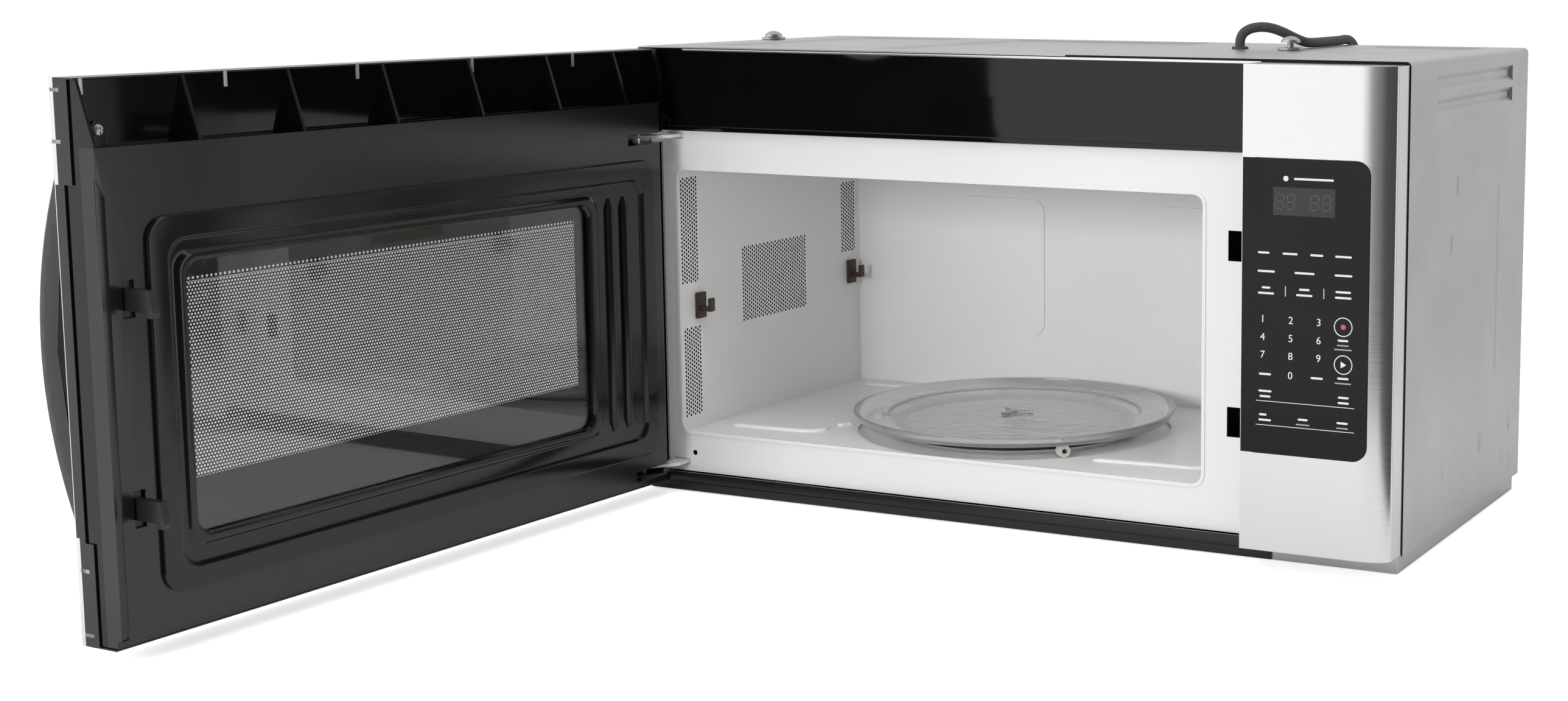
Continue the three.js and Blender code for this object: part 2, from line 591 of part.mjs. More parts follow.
function makeControlPanel() {
  let body = cut(
    push(panelSection(0), 'z', PANEL_BOTTOM, PANEL_TOP),
    push(panelSection(PANEL_WALL), 'z', PANEL_BOTTOM + PANEL_WALL, PANEL_TOP - PANEL_WALL),
  );
  const seatRear = FACE_Y + TOUCH.thick + GAP;
  body = cut(
    body,
    plate(TOUCH, FACE_Y - 1, seatRear, GAP),
    block(DISPLAY.left - GAP, DISPLAY.right + GAP, FACE_Y - 1, FACE_Y + PANEL_WALL + 1,
      DISPLAY.bottom - GAP, DISPLAY.top + GAP),
    block(PANEL_LEFT - 1, HALF, FASCIA_FRONT - 1 - GAP, 1, FASCIA_BOTTOM - GAP, PANEL_TOP + 1),
  );
  const bossY = FACE_Y + PANEL_WALL;
  for (const x of [BOARD.left + BOARD.margin, BOARD.right - BOARD.margin]) {
    for (const z of [BOARD.bottom + BOARD.margin, BOARD.top - BOARD.margin]) {
      body = join(body, rod('y', [x, 0, z], 3, bossY - 1, bossY + BOSS_LENGTH, 12));
    }
  }
  place('control_panel', body, brushed);
}

function makeTouchPanel() {
  const sheet = plate(TOUCH, FACE_Y, FACE_Y + TOUCH.thick);
  place('touch_panel', cut(sheet, block(DISPLAY.left - GAP, DISPLAY.right + GAP, FACE_Y - 1,
    FACE_Y + TOUCH.thick + 1, DISPLAY.bottom - GAP, DISPLAY.top + GAP)), glossBlack);
  place('display_window', block(DISPLAY.left, DISPLAY.right, FACE_Y, FACE_Y + DISPLAY.thick,
    DISPLAY.bottom, DISPLAY.top), smokedGlass);
}

const BOARD = { left: 257, right: 367, bottom: 112, top: 336, margin: 6 };
// Blocks and cans on the board, each placed from its lower left corner.
const BOARD_BLOCKS = [
  { x: 13, z: 18, width: 36, height: 38, tall: 24 },
  { x: 63, z: 16, width: 18, height: 28, tall: 16 },
  { x: 87, z: 16, width: 16, height: 28, tall: 16 },
  { x: 18, z: 128, width: 60, height: 22, tall: 6 },
];
const BOARD_CANS = [
  { x: 28, z: 88, radius: 7, tall: 20 },
  { x: 53, z: 88, radius: 5, tall: 14 },
];
const SOLDER_LAP = 0.5;        // how far a block is let into the board

function makeControlBoard() {
  const front = FACE_Y + PANEL_WALL + BOSS_LENGTH + GAP;
  const back = front + BOARD_DEPTH;
  const board = block(BOARD.left, BOARD.right, front, back, BOARD.bottom, BOARD.top);
  const foot = back - SOLDER_LAP;
  const blocks = BOARD_BLOCKS.map(({ x, z, width, height, tall }) => block(BOARD.left + x,
    BOARD.left + x + width, foot, back + tall, BOARD.bottom + z, BOARD.bottom + z + height));
  const cans = BOARD_CANS.map(({ x, z, radius, tall }) =>
    rod('y', [BOARD.left + x, 0, BOARD.bottom + z], radius, foot, back + tall, 16));
  place('control_board', join(board, ...blocks, ...cans), circuitGreen);
}

function makeInterlockBracket() {
  const { left, right, bottom, top, depth, wall } = BRACKET;
  let bracket = cut(
    block(left, right, BEHIND_FRAME, depth, bottom, top),
    block(left + wall, right - wall, 0, depth - wall, bottom + wall, top - wall),
  );
  for (const z of LATCH_HEIGHTS) {
    const centre = [LATCH_X, 0, z + LATCH_HOOK_HEIGHT / 2];
    bracket = cut(bracket, rod('y', centre, PLUNGER_RADIUS + SLIDE_GAP, depth - wall - 1, depth + 1, 12));
  }
  place('interlock_bracket', bracket, whitePlastic);
  const names = ['lower', 'upper'];
  LATCH_HEIGHTS.forEach((z, i) => {
    const centre = [LATCH_X, 0, z + LATCH_HOOK_HEIGHT / 2];
    const pin = join(
      rod('y', centre, PLUNGER_RADIUS, LATCH_REACH + 3, depth + 6, 12),
      rod('y', centre, PLUNGER_RADIUS + 1.6, LATCH_REACH + 5, LATCH_REACH + 6.4, 12),
    );
    place(`interlock_plunger_${names[i]}`, pin, brown);
  });
}

// ---- power parts -----------------------------------------------------------------------------------
function makeTransformer() {
  const { width, depth, height, y, coil, coilInset } = TRANSFORMER;
  const x0 = BAY_MIDDLE - width / 2;
  const z0 = CHASSIS_TOP + GAP;
  const core = block(x0, x0 + width, y, y + depth, z0, z0 + height);
  const winding = (y0, y1) => block(x0 + coilInset, x0 + width - coilInset, y0, y1,
    z0 + coil, z0 + height - coil);
  const front = winding(y - coil, y + 1);
  const back = winding(y + depth - 1, y + depth + coil);
  place('high_voltage_transformer', join(core, front, back), iron);
}

function makeCapacitor() {
  const { x, y, radius, depth, height } = CAPACITOR;
  const z0 = CHASSIS_TOP + GAP;
  const top = z0 + height;
  const outside = rounded(x - radius, x + radius, y - depth / 2, y + depth / 2, radius - 1);
  const tab = CAPACITOR_TAB;
  const tabs = [-1, 1].map((side) => {
    const middle = y + (side * tab.spread) / 2;
    return block(x - tab.width / 2, x + tab.width / 2, middle - tab.thick / 2, middle + tab.thick / 2,
      top - 1, top + tab.height);
  });
  place('high_voltage_capacitor', join(push(outside, 'z', z0, top), ...tabs), aluminiumMesh);
}

function makeWaveguide() {
  const { depth, front, back, bottom, top, wall } = GUIDE;
  const right = BAY_LEFT + depth;
  const tube = cut(
    block(BAY_LEFT, right, front, back, bottom, top),
    block(BAY_LEFT - 1, right - wall, front + wall, back - wall, bottom + wall, top - wall),
  );
  place('waveguide', tube, galvanised);
}

function makeMagnetron() {
  const { width, bottom, top } = MAGNETRON;
  const x0 = BAY_LEFT + GUIDE.depth + GAP;
  const y0 = (GUIDE.front + GUIDE.back - width) / 2;
  const flange = block(x0, x0 + 3, y0 - 14, y0 + width + 14, bottom - 6, top + 6);
  const yoke = cut(
    block(x0 + 2, x0 + width, y0, y0 + width, bottom, top),
    block(x0 + 8, x0 + width - 6, y0 - 1, y0 + width + 1, bottom + 6, top - 6),
  );
  const finCount = 5;
  const fins = [];
  for (let i = 0; i < finCount; i += 1) {
    const x = x0 + 18 + i * 12;
    fins.push(block(x, x + 1.4, y0 + 6, y0 + width - 6, bottom + 5, top - 5));
  }
  const anode = rod('x', [0, y0 + width / 2, (bottom + top) / 2], 19, x0 + 2, x0 + width - 2, 20);
  const boxFoot = block(x0 + width - 1, x0 + width + 22, y0 + 14, y0 + width - 14, bottom + 10, top - 10);
  place('magnetron', join(flange, yoke, anode, boxFoot, ...fins), aluminiumMesh);
}

function makeCoolingFan() {
  const { x, z, bore, wheel, half, front, hub } = FAN;
  const back = INSIDE_BACK - GAP;
  let housing = cut(
    block(x - half, x + half, front, back, z - half, z + half),
    rod('y', [x, 0, z], bore, front - 1, back + 1, 40),
  );
  const motorFront = back - FAN_MOTOR.depth;
  const motor = rod('y', [x, 0, z], FAN_MOTOR.radius, motorFront, back, 24);
  const spoke = FAN_SPOKE;
  const reach = bore + spoke.lap;
  const spokes = [
    block(x - reach, x + reach, back - spoke.depth, back, z - spoke.half, z + spoke.half),
    block(x - spoke.half, x + spoke.half, back - spoke.depth, back, z - reach, z + reach),
  ];
  const shaft = rod('y', [x, 0, z], FAN_SHAFT_RADIUS, front + 3, motorFront + 1, 12);
  const legs = [x - half, x + half - FAN_LEG.width].map((x0) => block(x0, x0 + FAN_LEG.width,
    back - FAN_LEG.depth, back, CHASSIS_TOP + GAP, z - half + 1));
  housing = join(housing, motor, ...spokes, shaft, ...legs);
  place('cooling_fan_housing', housing, satinBlack);

  const bladeFront = front + 4;
  const bladeBack = motorFront - 1;
  let rotor = rod('y', [x, 0, z], hub, bladeFront, bladeBack, 24);
  for (let i = 0; i < FAN_BLADE.count; i += 1) {
    const blade = new THREE.BoxGeometry(wheel - hub + 1, FAN_BLADE.thick, FAN_BLADE.chord);
    blade.rotateX(FAN_BLADE.tilt).translate((wheel + hub - 1) / 2, (bladeFront + bladeBack) / 2, 0);
    blade.rotateY((i * 2 * Math.PI) / FAN_BLADE.count);
    rotor = join(rotor, solid(blade.translate(x, 0, z)));
  }
  const inBore = cut(
    rod('y', [x, 0, z], wheel, bladeFront, bladeBack, 40),
    rod('y', [x, 0, z], FAN_SHAFT_RADIUS + SLIDE_GAP, bladeFront - 1, bladeBack + 1, 12),
  );
  place('cooling_fan_wheel', rotor.intersect(inBore), whitePlastic);
}

function makeLamp() {
  const x0 = BAY_LEFT;
  const socket = rod('x', [0, LAMP.y, LAMP.z], LAMP.base, x0, x0 + 12, 20);
  const holder = block(x0 + 8, x0 + LAMP.length, LAMP.y - 9, LAMP.y + 9, LAMP.z - 9, LAMP.z + 9);
  place('cavity_lamp', join(socket, holder), whitePlastic);
}

// ---- vent blower -----------------------------------------------------------------------------------
const MOUTH_CUT = 2;           // the hollow runs this far past the outlet

function scrollOutline(inset) {
  const { y, mouth, channel } = BLOWER;
  const z = BLOWER_Z;
  const r = BLOWER_RADIUS - inset;
  const under = BLOWER_RADIUS - channel + inset;
  const front = y - mouth - (inset > 0 ? MOUTH_CUT : 0);
  const shape = new THREE.Shape();
  shape.moveTo(front, z + under);
  shape.lineTo(y - Math.sqrt(r * r - under * under), z + under);
  shape.absarc(y, z, r, Math.PI - Math.asin(under / r), Math.PI * 2.5, false);
  shape.lineTo(front, z + r);
  return shape;
}

const BLOWER_RIM = { width: 3, depth: 8 };
const BLOWER_BLADE = { count: 10, chord: 7, thick: 1.2, tilt: 0.6, inset: 4.6 };
const BLOWER_HUB = { radius: 10, half: 10 };
const BLOWER_DISC_HALF = 1.5;

function makeBlowerWheel(side, w0) {
  const { y, wheelWidth } = BLOWER;
  const centre = [0, y, BLOWER_Z];
  const w1 = w0 + wheelWidth;
  const middle = (w0 + w1) / 2;
  const rim = (from) => cut(
    rod('x', centre, BLOWER_WHEEL, from, from + BLOWER_RIM.width, 24),
    rod('x', centre, BLOWER_WHEEL - BLOWER_RIM.depth, from - 1, from + BLOWER_RIM.width + 1, 24),
  );
  const blades = [];
  for (let i = 0; i < BLOWER_BLADE.count; i += 1) {
    const blade = new THREE.BoxGeometry(wheelWidth - 1, BLOWER_BLADE.chord, BLOWER_BLADE.thick);
    blade.rotateX(BLOWER_BLADE.tilt).translate(middle, BLOWER_WHEEL - BLOWER_BLADE.inset, 0);
    blade.rotateX((i * 2 * Math.PI) / BLOWER_BLADE.count);
    blades.push(solid(blade.translate(0, y, BLOWER_Z)));
  }
  const disc = rod('x', centre, BLOWER_WHEEL - 1, middle - BLOWER_DISC_HALF, middle + BLOWER_DISC_HALF, 24);
  const hub = rod('x', centre, BLOWER_HUB.radius, middle - BLOWER_HUB.half, middle + BLOWER_HUB.half, 16);
  const bore = rod('x', centre, BLOWER_SHAFT_RADIUS + GAP, w0 - 1, w1 + 1, 16);
  const rotor = join(disc, hub, rim(w0), rim(w1 - BLOWER_RIM.width), ...blades);
  place(`blower_wheel_${side}`, cut(rotor, bore), whitePlastic);
}

const BLOWER_SHAFT_INSET = 8;
const BLOWER_FOOT = { inset: 10, half: 34, below: 20 };

function makeBlower() {
  const { y, gap, width, wheelWidth } = BLOWER;
  const centre = [0, y, BLOWER_Z];
  for (const [side, sign] of [['left', -1], ['right', 1]]) {
    const near = sign * gap;
    const far = sign * (gap + width);
    const x0 = Math.min(near, far);
    const x1 = Math.max(near, far);
    const scroll = cut(
      push(scrollOutline(0), 'x', x0, x1, 10),
      push(scrollOutline(BLOWER_SHEET), 'x', x0 + BLOWER_SHEET, x1 - BLOWER_SHEET, 10),
      rod('x', centre, BLOWER_WHEEL - BLOWER_INLET_LAP, x0 - 1, x1 + 1, 24),
    );
    place(`blower_housing_${side}`, scroll, galvanised);
    makeBlowerWheel(side, (x0 + x1 - wheelWidth) / 2);
  }
  const reach = gap + width - BLOWER_SHAFT_INSET;
  place('blower_shaft', rod('x', centre, BLOWER_SHAFT_RADIUS, -reach, reach, 16), darkSteel);
  const half = gap - GAP;
  const { inset, half: footHalf, below } = BLOWER_FOOT;
  const foot = block(-half + inset, half - inset, y - footHalf, y + footHalf,
    CAVITY_OUTSIDE_TOP + GAP, BLOWER_Z - below);
  const motor = cut(
    join(rod('x', centre, BLOWER_RADIUS - BLOWER_MOTOR_STEP, -half, half, 32), foot),
    rod('x', centre, BLOWER_SHAFT_RADIUS + SLIDE_GAP, -half - 1, half + 1, 16),
  );
  place('blower_motor', motor, iron);
}

function makeCharcoalFilter() {
  const { width, thick, headroom } = CHARCOAL;
  const y0 = FASCIA_FRONT + FASCIA_WALL + GAP;
  const z0 = FASCIA_BOTTOM + FASCIA_WALL + GAP;
  const z1 = INSIDE_TOP - GAP - FASCIA_WALL - headroom;
  place('charcoal_filter', block(-width / 2, width / 2, y0, y0 + thick, z0, z1), carbon);
}

// ---- underside -------------------------------------------------------------------------------------
function makeUnderside() {
  for (const [side, sign] of [['left', -1], ['right', 1]]) {
    const z0 = SHEET + GAP;
    const fx = sign * FILTER.x;
    const pad = block(fx - FILTER.width / 2, fx + FILTER.width / 2, FILTER.y, FILTER.y + FILTER.depth,
      z0, z0 + FILTER.thick);
    place(`grease_filter_${side}`, pad, aluminiumMesh);
    const lx = sign * LENS.x;
    const lens = block(lx - LENS.width / 2, lx + LENS.width / 2, LENS.y, LENS.y + LENS.depth,
      z0, z0 + LENS.thick);
    place(`cooktop_lamp_lens_${side}`, lens, clearGlass);
  }
}

// ---- door ------------------------------------------------------------------------------------------
function doorPlan(inset, rear) {
  const left = -HALF + inset;
  const right = DOOR_RIGHT - inset;
  const front = FACE_Y + inset;
  return outline([
    [left, front], [right, front], [right, rear],
    [HINGE_X + inset, rear], [left, DOOR_HINGE_REAR - inset / 2],
  ]);
}

function hingePockets() {
  return HINGE_PLATE_HEIGHTS.map((z) => block(-HALF - 2, HINGE_X + 44, FACE_Y + SHEET + 0.6, 2,
    z - POCKET_CLEAR, z + HINGE_PLATE_THICK + POCKET_CLEAR));
}

function footRelief() {
  return block(-HALF - 1, DOOR_RIGHT + 1, DOOR_FOOT_REAR, 1, DOOR_BOTTOM - 1, DOOR_FOOT_TOP);
}

// What is cut away over the trough: its gussets and ends slope back to its wall at the top.
function recessMouth() {
  const foot = RECESS_BOTTOM + RECESS_LIP;
  const slope = outline([
    [DOOR_REAR, foot], [1, foot], [1, DOOR_TOP + 1], [RECESS_BACK, DOOR_TOP + 1],
  ]);
  return push(slope, 'x', -HALF - 1, DOOR_RIGHT + 1);
}

// The skin's fold along the free edge is lower between two heights.
const SKIN_EDGE = { bottom: 90, top: 345, middleDepth: -36, endDepth: -28 };

function makeDoorSkin() {
  const shell = cut(
    push(doorPlan(0, DOOR_REAR + 1), 'z', DOOR_BOTTOM, DOOR_TOP),
    push(doorPlan(SHEET, DOOR_REAR + 3), 'z', DOOR_BOTTOM + SHEET, DOOR_TOP - SHEET),
  );
  const { bottom, top, middleDepth, endDepth } = SKIN_EDGE;
  const middleEdge = block(DOOR_RIGHT - 5, DOOR_RIGHT + 1, middleDepth, 2, bottom, top);
  const edgeRear = block(DOOR_RIGHT - 5, DOOR_RIGHT + 1, endDepth, 2, DOOR_BOTTOM + SHEET, DOOR_TOP - SHEET);
  const window = plate(OUTER_GLASS, FACE_Y - 1, FACE_Y + SHEET + 1, GAP);
  const skin = cut(
    shell, middleEdge, edgeRear, window, recessMouth(), footRelief(), ...hingePockets(),
  );
  place('door_skin', skin, brushed, door);
}

function makeDoorFrame() {
  const inset = SHEET + GAP;
  const bottom = DOOR_BOTTOM + inset;
  const top = DOOR_TOP - inset;
  const left = -HALF + inset;
  const right = DOOR_RIGHT - inset;
  const front = FACE_Y + inset;
  const web = RECESS_BACK - DOOR_WALL;
  let frame = push(doorPlan(inset, DOOR_REAR), 'z', bottom, top);
  frame = cut(
    frame,
    block(left + DOOR_WALL, right - DOOR_WALL, front - 1, web, bottom + DOOR_WALL, top - DOOR_WALL),
    block(left + 30, right - 9, front - 1, DOOR_REAR - DOOR_WALL, bottom + 30, RECESS_BOTTOM - 6),
    block(left + DOOR_WALL, right - DOOR_WALL, RECESS_BACK, 0, RECESS_BOTTOM, top + 1),
    plate(CHOKE, FACE_Y, 0, -CHOKE_BODY + GAP),
  );
  for (const x of GUSSET_PLACES) {
    const half = GUSSET_THICK / 2;
    frame = join(frame, block(x - half, x + half, web, DOOR_REAR, RECESS_BOTTOM - 1, top));
  }
  frame = cut(frame, recessMouth());
  for (const z of HINGE_PLATE_HEIGHTS) {
    const low = Math.max(z - POCKET_CLEAR - HINGE_PIN_REACH, bottom);
    const high = z + HINGE_PLATE_THICK + POCKET_CLEAR + HINGE_PIN_REACH;
    frame = join(frame, block(left + 1, HINGE_X + 10, front, HINGE_Y + 9, low, high));
  }
  frame = cut(frame, footRelief(), ...hingePockets());
  for (const z of HINGE_PLATE_HEIGHTS) {
    const low = z - POCKET_CLEAR - HINGE_PIN_REACH - 1;
    frame = cut(frame, rod('z', [HINGE_X, HINGE_Y, 0], HINGE_PIN_RADIUS + SLIDE_GAP, low,
      z + HINGE_PLATE_THICK + POCKET_CLEAR + HINGE_PIN_REACH + 1, 20));
  }
  for (const z of LATCH_HEIGHTS) {
    frame = cut(frame, block(LATCH_X - 5, LATCH_X + 5, DOOR_REAR - DOOR_WALL - 1, 0,
      z - 1.5, z + LATCH_HOOK_HEIGHT + LATCH_TRAVEL + 1.5));
  }
  place('door_frame', frame, satinBlack, door);
}

function makeHingePlates() {
  const names = ['lower', 'upper'];
  const arm = outline([
    [HINGE_SLOT.left + 2, 26], [HINGE_SLOT.right - 2, 26], [HINGE_SLOT.right - 2, -16],
    [HINGE_X + 8, HINGE_Y - 7], [HINGE_X - 3, HINGE_Y - 8], [HINGE_X - 8, HINGE_Y],
    [HINGE_X - 5, HINGE_Y + 8], [HINGE_SLOT.left + 2, -12],
  ]);
  HINGE_PLATE_HEIGHTS.forEach((z, i) => {
    const tab = block(HINGE_SLOT.left - 2, HINGE_SLOT.right + 4, BEHIND_FRAME, BEHIND_FRAME + 3,
      Math.max(z - 8, CHASSIS_TOP + GAP), Math.min(z + HINGE_PLATE_THICK + 4, FASCIA_BOTTOM - GAP));
    const pinLow = Math.max(z - HINGE_PIN_REACH, DOOR_BOTTOM + 2);
    const pinHigh = z + HINGE_PLATE_THICK + HINGE_PIN_REACH;
    const pin = rod('z', [HINGE_X, HINGE_Y, 0], HINGE_PIN_RADIUS, pinLow, pinHigh, 16);
    place(`hinge_plate_${names[i]}`, join(push(arm, 'z', z, z + HINGE_PLATE_THICK), tab, pin), enamel);
  });
}

function makeChokeCover() {
  const face = CHOKE.rear;
  const flangeFront = DOOR_REAR + GAP;
  const step = face - CHOKE_STEP.depth;
  let cover = join(
    plate(CHOKE, flangeFront, face),
    plate(CHOKE, flangeFront - CHOKE.flange, flangeFront + 1, -CHOKE_BODY),
  );
  cover = cut(cover, plate({ ...CHOKE_STEP, corner: 10 }, step, face + 1), plate(VIEW, FACE_Y, 0));
  place('choke_cover', cover, satinBlack, door);
}

function makeDoorWindow() {
  const behindCover = DOOR_REAR + GAP - CHOKE.flange - GAP;
  const pane = plate(VIEW, behindCover - INNER_WINDOW_THICK, behindCover, WINDOW_LAP);
  place('inner_window', pane, clearGlass, door);
  const sheetRear = behindCover - INNER_WINDOW_THICK - GAP;
  const edge = plate(CHOKE, sheetRear - SHEET, behindCover, -CHOKE_BODY - 1);
  const tray = cut(edge, plate(CHOKE, sheetRear, behindCover + 1, -CHOKE_BODY - 1 - SHEET));
  place('screen_panel', tray, darkSteel, door);
  place('outer_glass', plate(OUTER_GLASS, FACE_Y, FACE_Y + OUTER_GLASS.thick), smokedGlass, door);
}

function handleOuter(z) {
  return HANDLE.reach + HANDLE.rise * ((z - HANDLE.middle) / HANDLE.end) ** 2;
}

function handleInner(z) {
  const seat = FACE_Y - GAP;
  return Math.min(seat, HANDLE.reach + GRIP_THICK + GRIP_RISE * ((z - HANDLE.middle) / HANDLE.end) ** 2);
}

function makeHandle() {
  const rings = 25;
  const positions = [];
  const index = [];
  const perRing = 12;
  for (let i = 0; i < rings; i += 1) {
    const z = HANDLE.middle + HANDLE.end * ((2 * i) / (rings - 1) - 1);
    const front = handleOuter(z);
    const back = handleInner(z);
    const c = Math.min(HANDLE.edge, (back - front) * 0.45);
    const w = HANDLE.width / 2;
    const soft = c * 0.3;
    const ring = [
      [-w + c, front], [w - c, front], [w - soft, front + soft], [w, front + c],
      [w, back - c], [w - soft, back - soft], [w - c, back], [-w + c, back],
      [-w + soft, back - soft], [-w, back - c], [-w, front + c], [-w + soft, front + soft],
    ];
    for (const [x, y] of ring) positions.push(HANDLE.x + x, y, z);
  }
  for (let i = 0; i < rings - 1; i += 1) {
    for (let j = 0; j < perRing; j += 1) {
      const a = i * perRing + j;
      const b = i * perRing + ((j + 1) % perRing);
      index.push(a, b, b + perRing, a, b + perRing, a + perRing);
    }
  }
  const last = (rings - 1) * perRing;
  for (let j = 1; j < perRing - 1; j += 1) {
    index.push(0, j + 1, j);
    index.push(last, last + j, last + j + 1);
  }
  const bow = new THREE.BufferGeometry();
  bow.setAttribute('position', new THREE.BufferAttribute(new Float32Array(positions), 3));
  bow.setIndex(index);
  place('door_handle', solid(bow), satinBlack, door);
}

function makeLatch() {
  const rear = DOOR_REAR - DOOR_WALL - GAP;
  const { width, deep, bottom, top } = LATCH_BAR;
  const x0 = LATCH_X - width / 2;
  let latch = block(x0, x0 + width, rear - deep, rear, bottom, top);
  const tip = LATCH_REACH;
  for (const z of LATCH_HEIGHTS) {
    const h = LATCH_HOOK_HEIGHT;
    const hook = outline([
      [rear - 3, z + 4], [tip - 9, z + 4], [tip - 8, z], [tip - 2, z], [tip, z + 4],
      [tip - 4, z + h], [rear - 3, z + h],
    ]);
    latch = join(latch, push(hook, 'x', LATCH_X - 3, LATCH_X + 3));
  }
  place('door_latch', latch, whitePlastic, door);
}

// ---- top screws and cord ---------------------------------------------------------------------------
function makeTopScrews() {
  const neck = SCREW_NECK_RADIUS;
  const seat = CABINET_TOP + GAP;
  const plateTop = seat + 2.2;
  const screwProfile = (headBottom) => [
    [0, INSIDE_TOP - 14], [neck, INSIDE_TOP - 14], [neck, seat], [12, seat], [12, plateTop],
    [neck, plateTop], [neck, headBottom], [9.3, headBottom], [8.2, headBottom + 2.6],
    [4.6, headBottom + 5], [0, headBottom + 5.8],
  ];
  place('top_screw_left', turned(screwProfile(plateTop + 0.6), SCREW_LEFT, 18), galvanised);
  place('top_screw_right', turned(screwProfile(plateTop + 4.6), SCREW_RIGHT, 18), galvanised);
}

const CORD_EXIT = [150.5, 190];
const GLAND_TOP = CABINET_TOP + 2.4;
// Route of the supply cord, point by point: up out of its hole, over in one arch, back across the top,
// down behind the cabinet, and along the surface that the oven stands on to the plug.
const CORD_ROUTE = [
  [150.5, 190, GLAND_TOP + GAP], [150.6, 190.1, 429.5], [152.6, 191.3, 435.2], [157.4, 194, 439.2],
  [164.2, 197.4, 441.2], [171.6, 200.8, 441.3], [179, 204.6, 439.6], [186, 209.2, 436.4],
  [192, 215, 432.6], [196.4, 222.4, 429.4], [199, 232, 427.2], [200.4, 246, 426.4],
  [201, 266, 426.3], [201, 292, 426.3], [201, 318, 426.4], [201, 334, 426.8],
  [201, 347, 425.4], [201, 358.5, 420.2], [201, 367.5, 411.6], [201, 373.2, 400],
  [201, 375.4, 385], [200.4, 375.4, 355], [199, 374.6, 310], [197, 373.8, 260],
  [194.6, 373, 210], [192, 372.6, 160], [189, 372.8, 110], [185.6, 373.8, 72],
  [181, 376, 46], [173.5, 379.2, 25.5], [161.5, 382.6, 11.4], [146, 385.2, 5.4],
  [128, 386.6, 4.9], [104, 387, 4.9], [80, 386, 4.9], [56, 383.6, 4.9],
  [32, 381, 4.9], [10, 379.6, 4.9], [-12, 379.4, 4.9],
];
const PLUG = { length: 36, width: 26, height: 22, corner: 6, lift: 0.2 };
const PLUG_BLADE = { reach: 16, spread: 6.3, half: 0.8, height: 6 };
const PLUG_PIN = { radius: 2.4, reach: 18 };

function makeCord() {
  const points = CORD_ROUTE.map((p) => new THREE.Vector3(...p));
  const path = new THREE.CatmullRomCurve3(points, false, 'centripetal');
  const ring = new THREE.Shape();
  const sides = 8;
  for (let i = 0; i < sides; i += 1) {
    const a = ((i + 0.5) * 2 * Math.PI) / sides;
    const x = CORD_RADIUS * Math.cos(a);
    const y = CORD_RADIUS * Math.sin(a);
    if (i === 0) ring.moveTo(x, y);
    else ring.lineTo(x, y);
  }
  const tube = new THREE.ExtrudeGeometry(ring, { steps: 62, extrudePath: path, bevelEnabled: false });
  place('power_cord', solid(tube), cordBlack);

  const [x, y] = CORD_EXIT;
  const bore = CORD_RADIUS + GAP;
  const gland = turned([
    [bore, INSIDE_TOP - 5], [CORD_HOLE_RADIUS + 3, INSIDE_TOP - 5], [CORD_HOLE_RADIUS + 3, INSIDE_TOP - GAP],
    [CORD_HOLE_RADIUS - GAP, INSIDE_TOP - GAP], [CORD_HOLE_RADIUS - GAP, GLAND_TOP - 0.8],
    [CORD_HOLE_RADIUS - 1.2, GLAND_TOP], [bore, GLAND_TOP], [bore, INSIDE_TOP - 5],
  ], [x, y], 20);
  place('cord_gland', gland, cordBlack);

  const [endX, endY] = CORD_ROUTE[CORD_ROUTE.length - 1];
  const rear = endX - GAP;
  const front = rear - PLUG.length;
  const half = PLUG.width / 2;
  const section = rounded(endY - half, endY + half, PLUG.lift, PLUG.lift + PLUG.height, PLUG.corner);
  const middle = PLUG.lift + PLUG.height / 2;
  const blades = [-PLUG_BLADE.spread, PLUG_BLADE.spread].map((d) =>
    block(front - PLUG_BLADE.reach, front + 1, endY + d - PLUG_BLADE.half,
      endY + d + PLUG_BLADE.half, middle - PLUG_BLADE.height, middle));
  const pin = rod('x', [0, endY, middle + PLUG_BLADE.height], PLUG_PIN.radius,
    front - PLUG_PIN.reach, front + 1, 12);
  place('power_plug', join(push(section, 'x', front, rear), pin, ...blades), cordBlack);
}

makeOuterWrap();
makeBackPanel();
makeBasePan();
makeChassisPlate();
makeFrontFrame();
makeFascia();
makeBottomTrim();
makeCavity();
makeRackHooks();
makePortCover();
makeTray();
makeCoupler();
makeRollerRing();
makeRollerWheels();
makeTurntableMotor();
makeControlPanel();
makeTouchPanel();
makeControlBoard();
makeInterlockBracket();
makeTransformer();
makeCapacitor();
makeWaveguide();
makeMagnetron();
makeCoolingFan();
makeLamp();
makeBlower();
makeCharcoalFilter();
makeUnderside();
makeDoorSkin();
makeDoorFrame();
makeHingePlates();
makeChokeCover();
makeDoorWindow();
makeHandle();
makeLatch();
makeTopScrews();
makeCord();

export default oven;
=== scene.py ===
import math

import bmesh
import bpy
from mathutils import Matrix, Vector


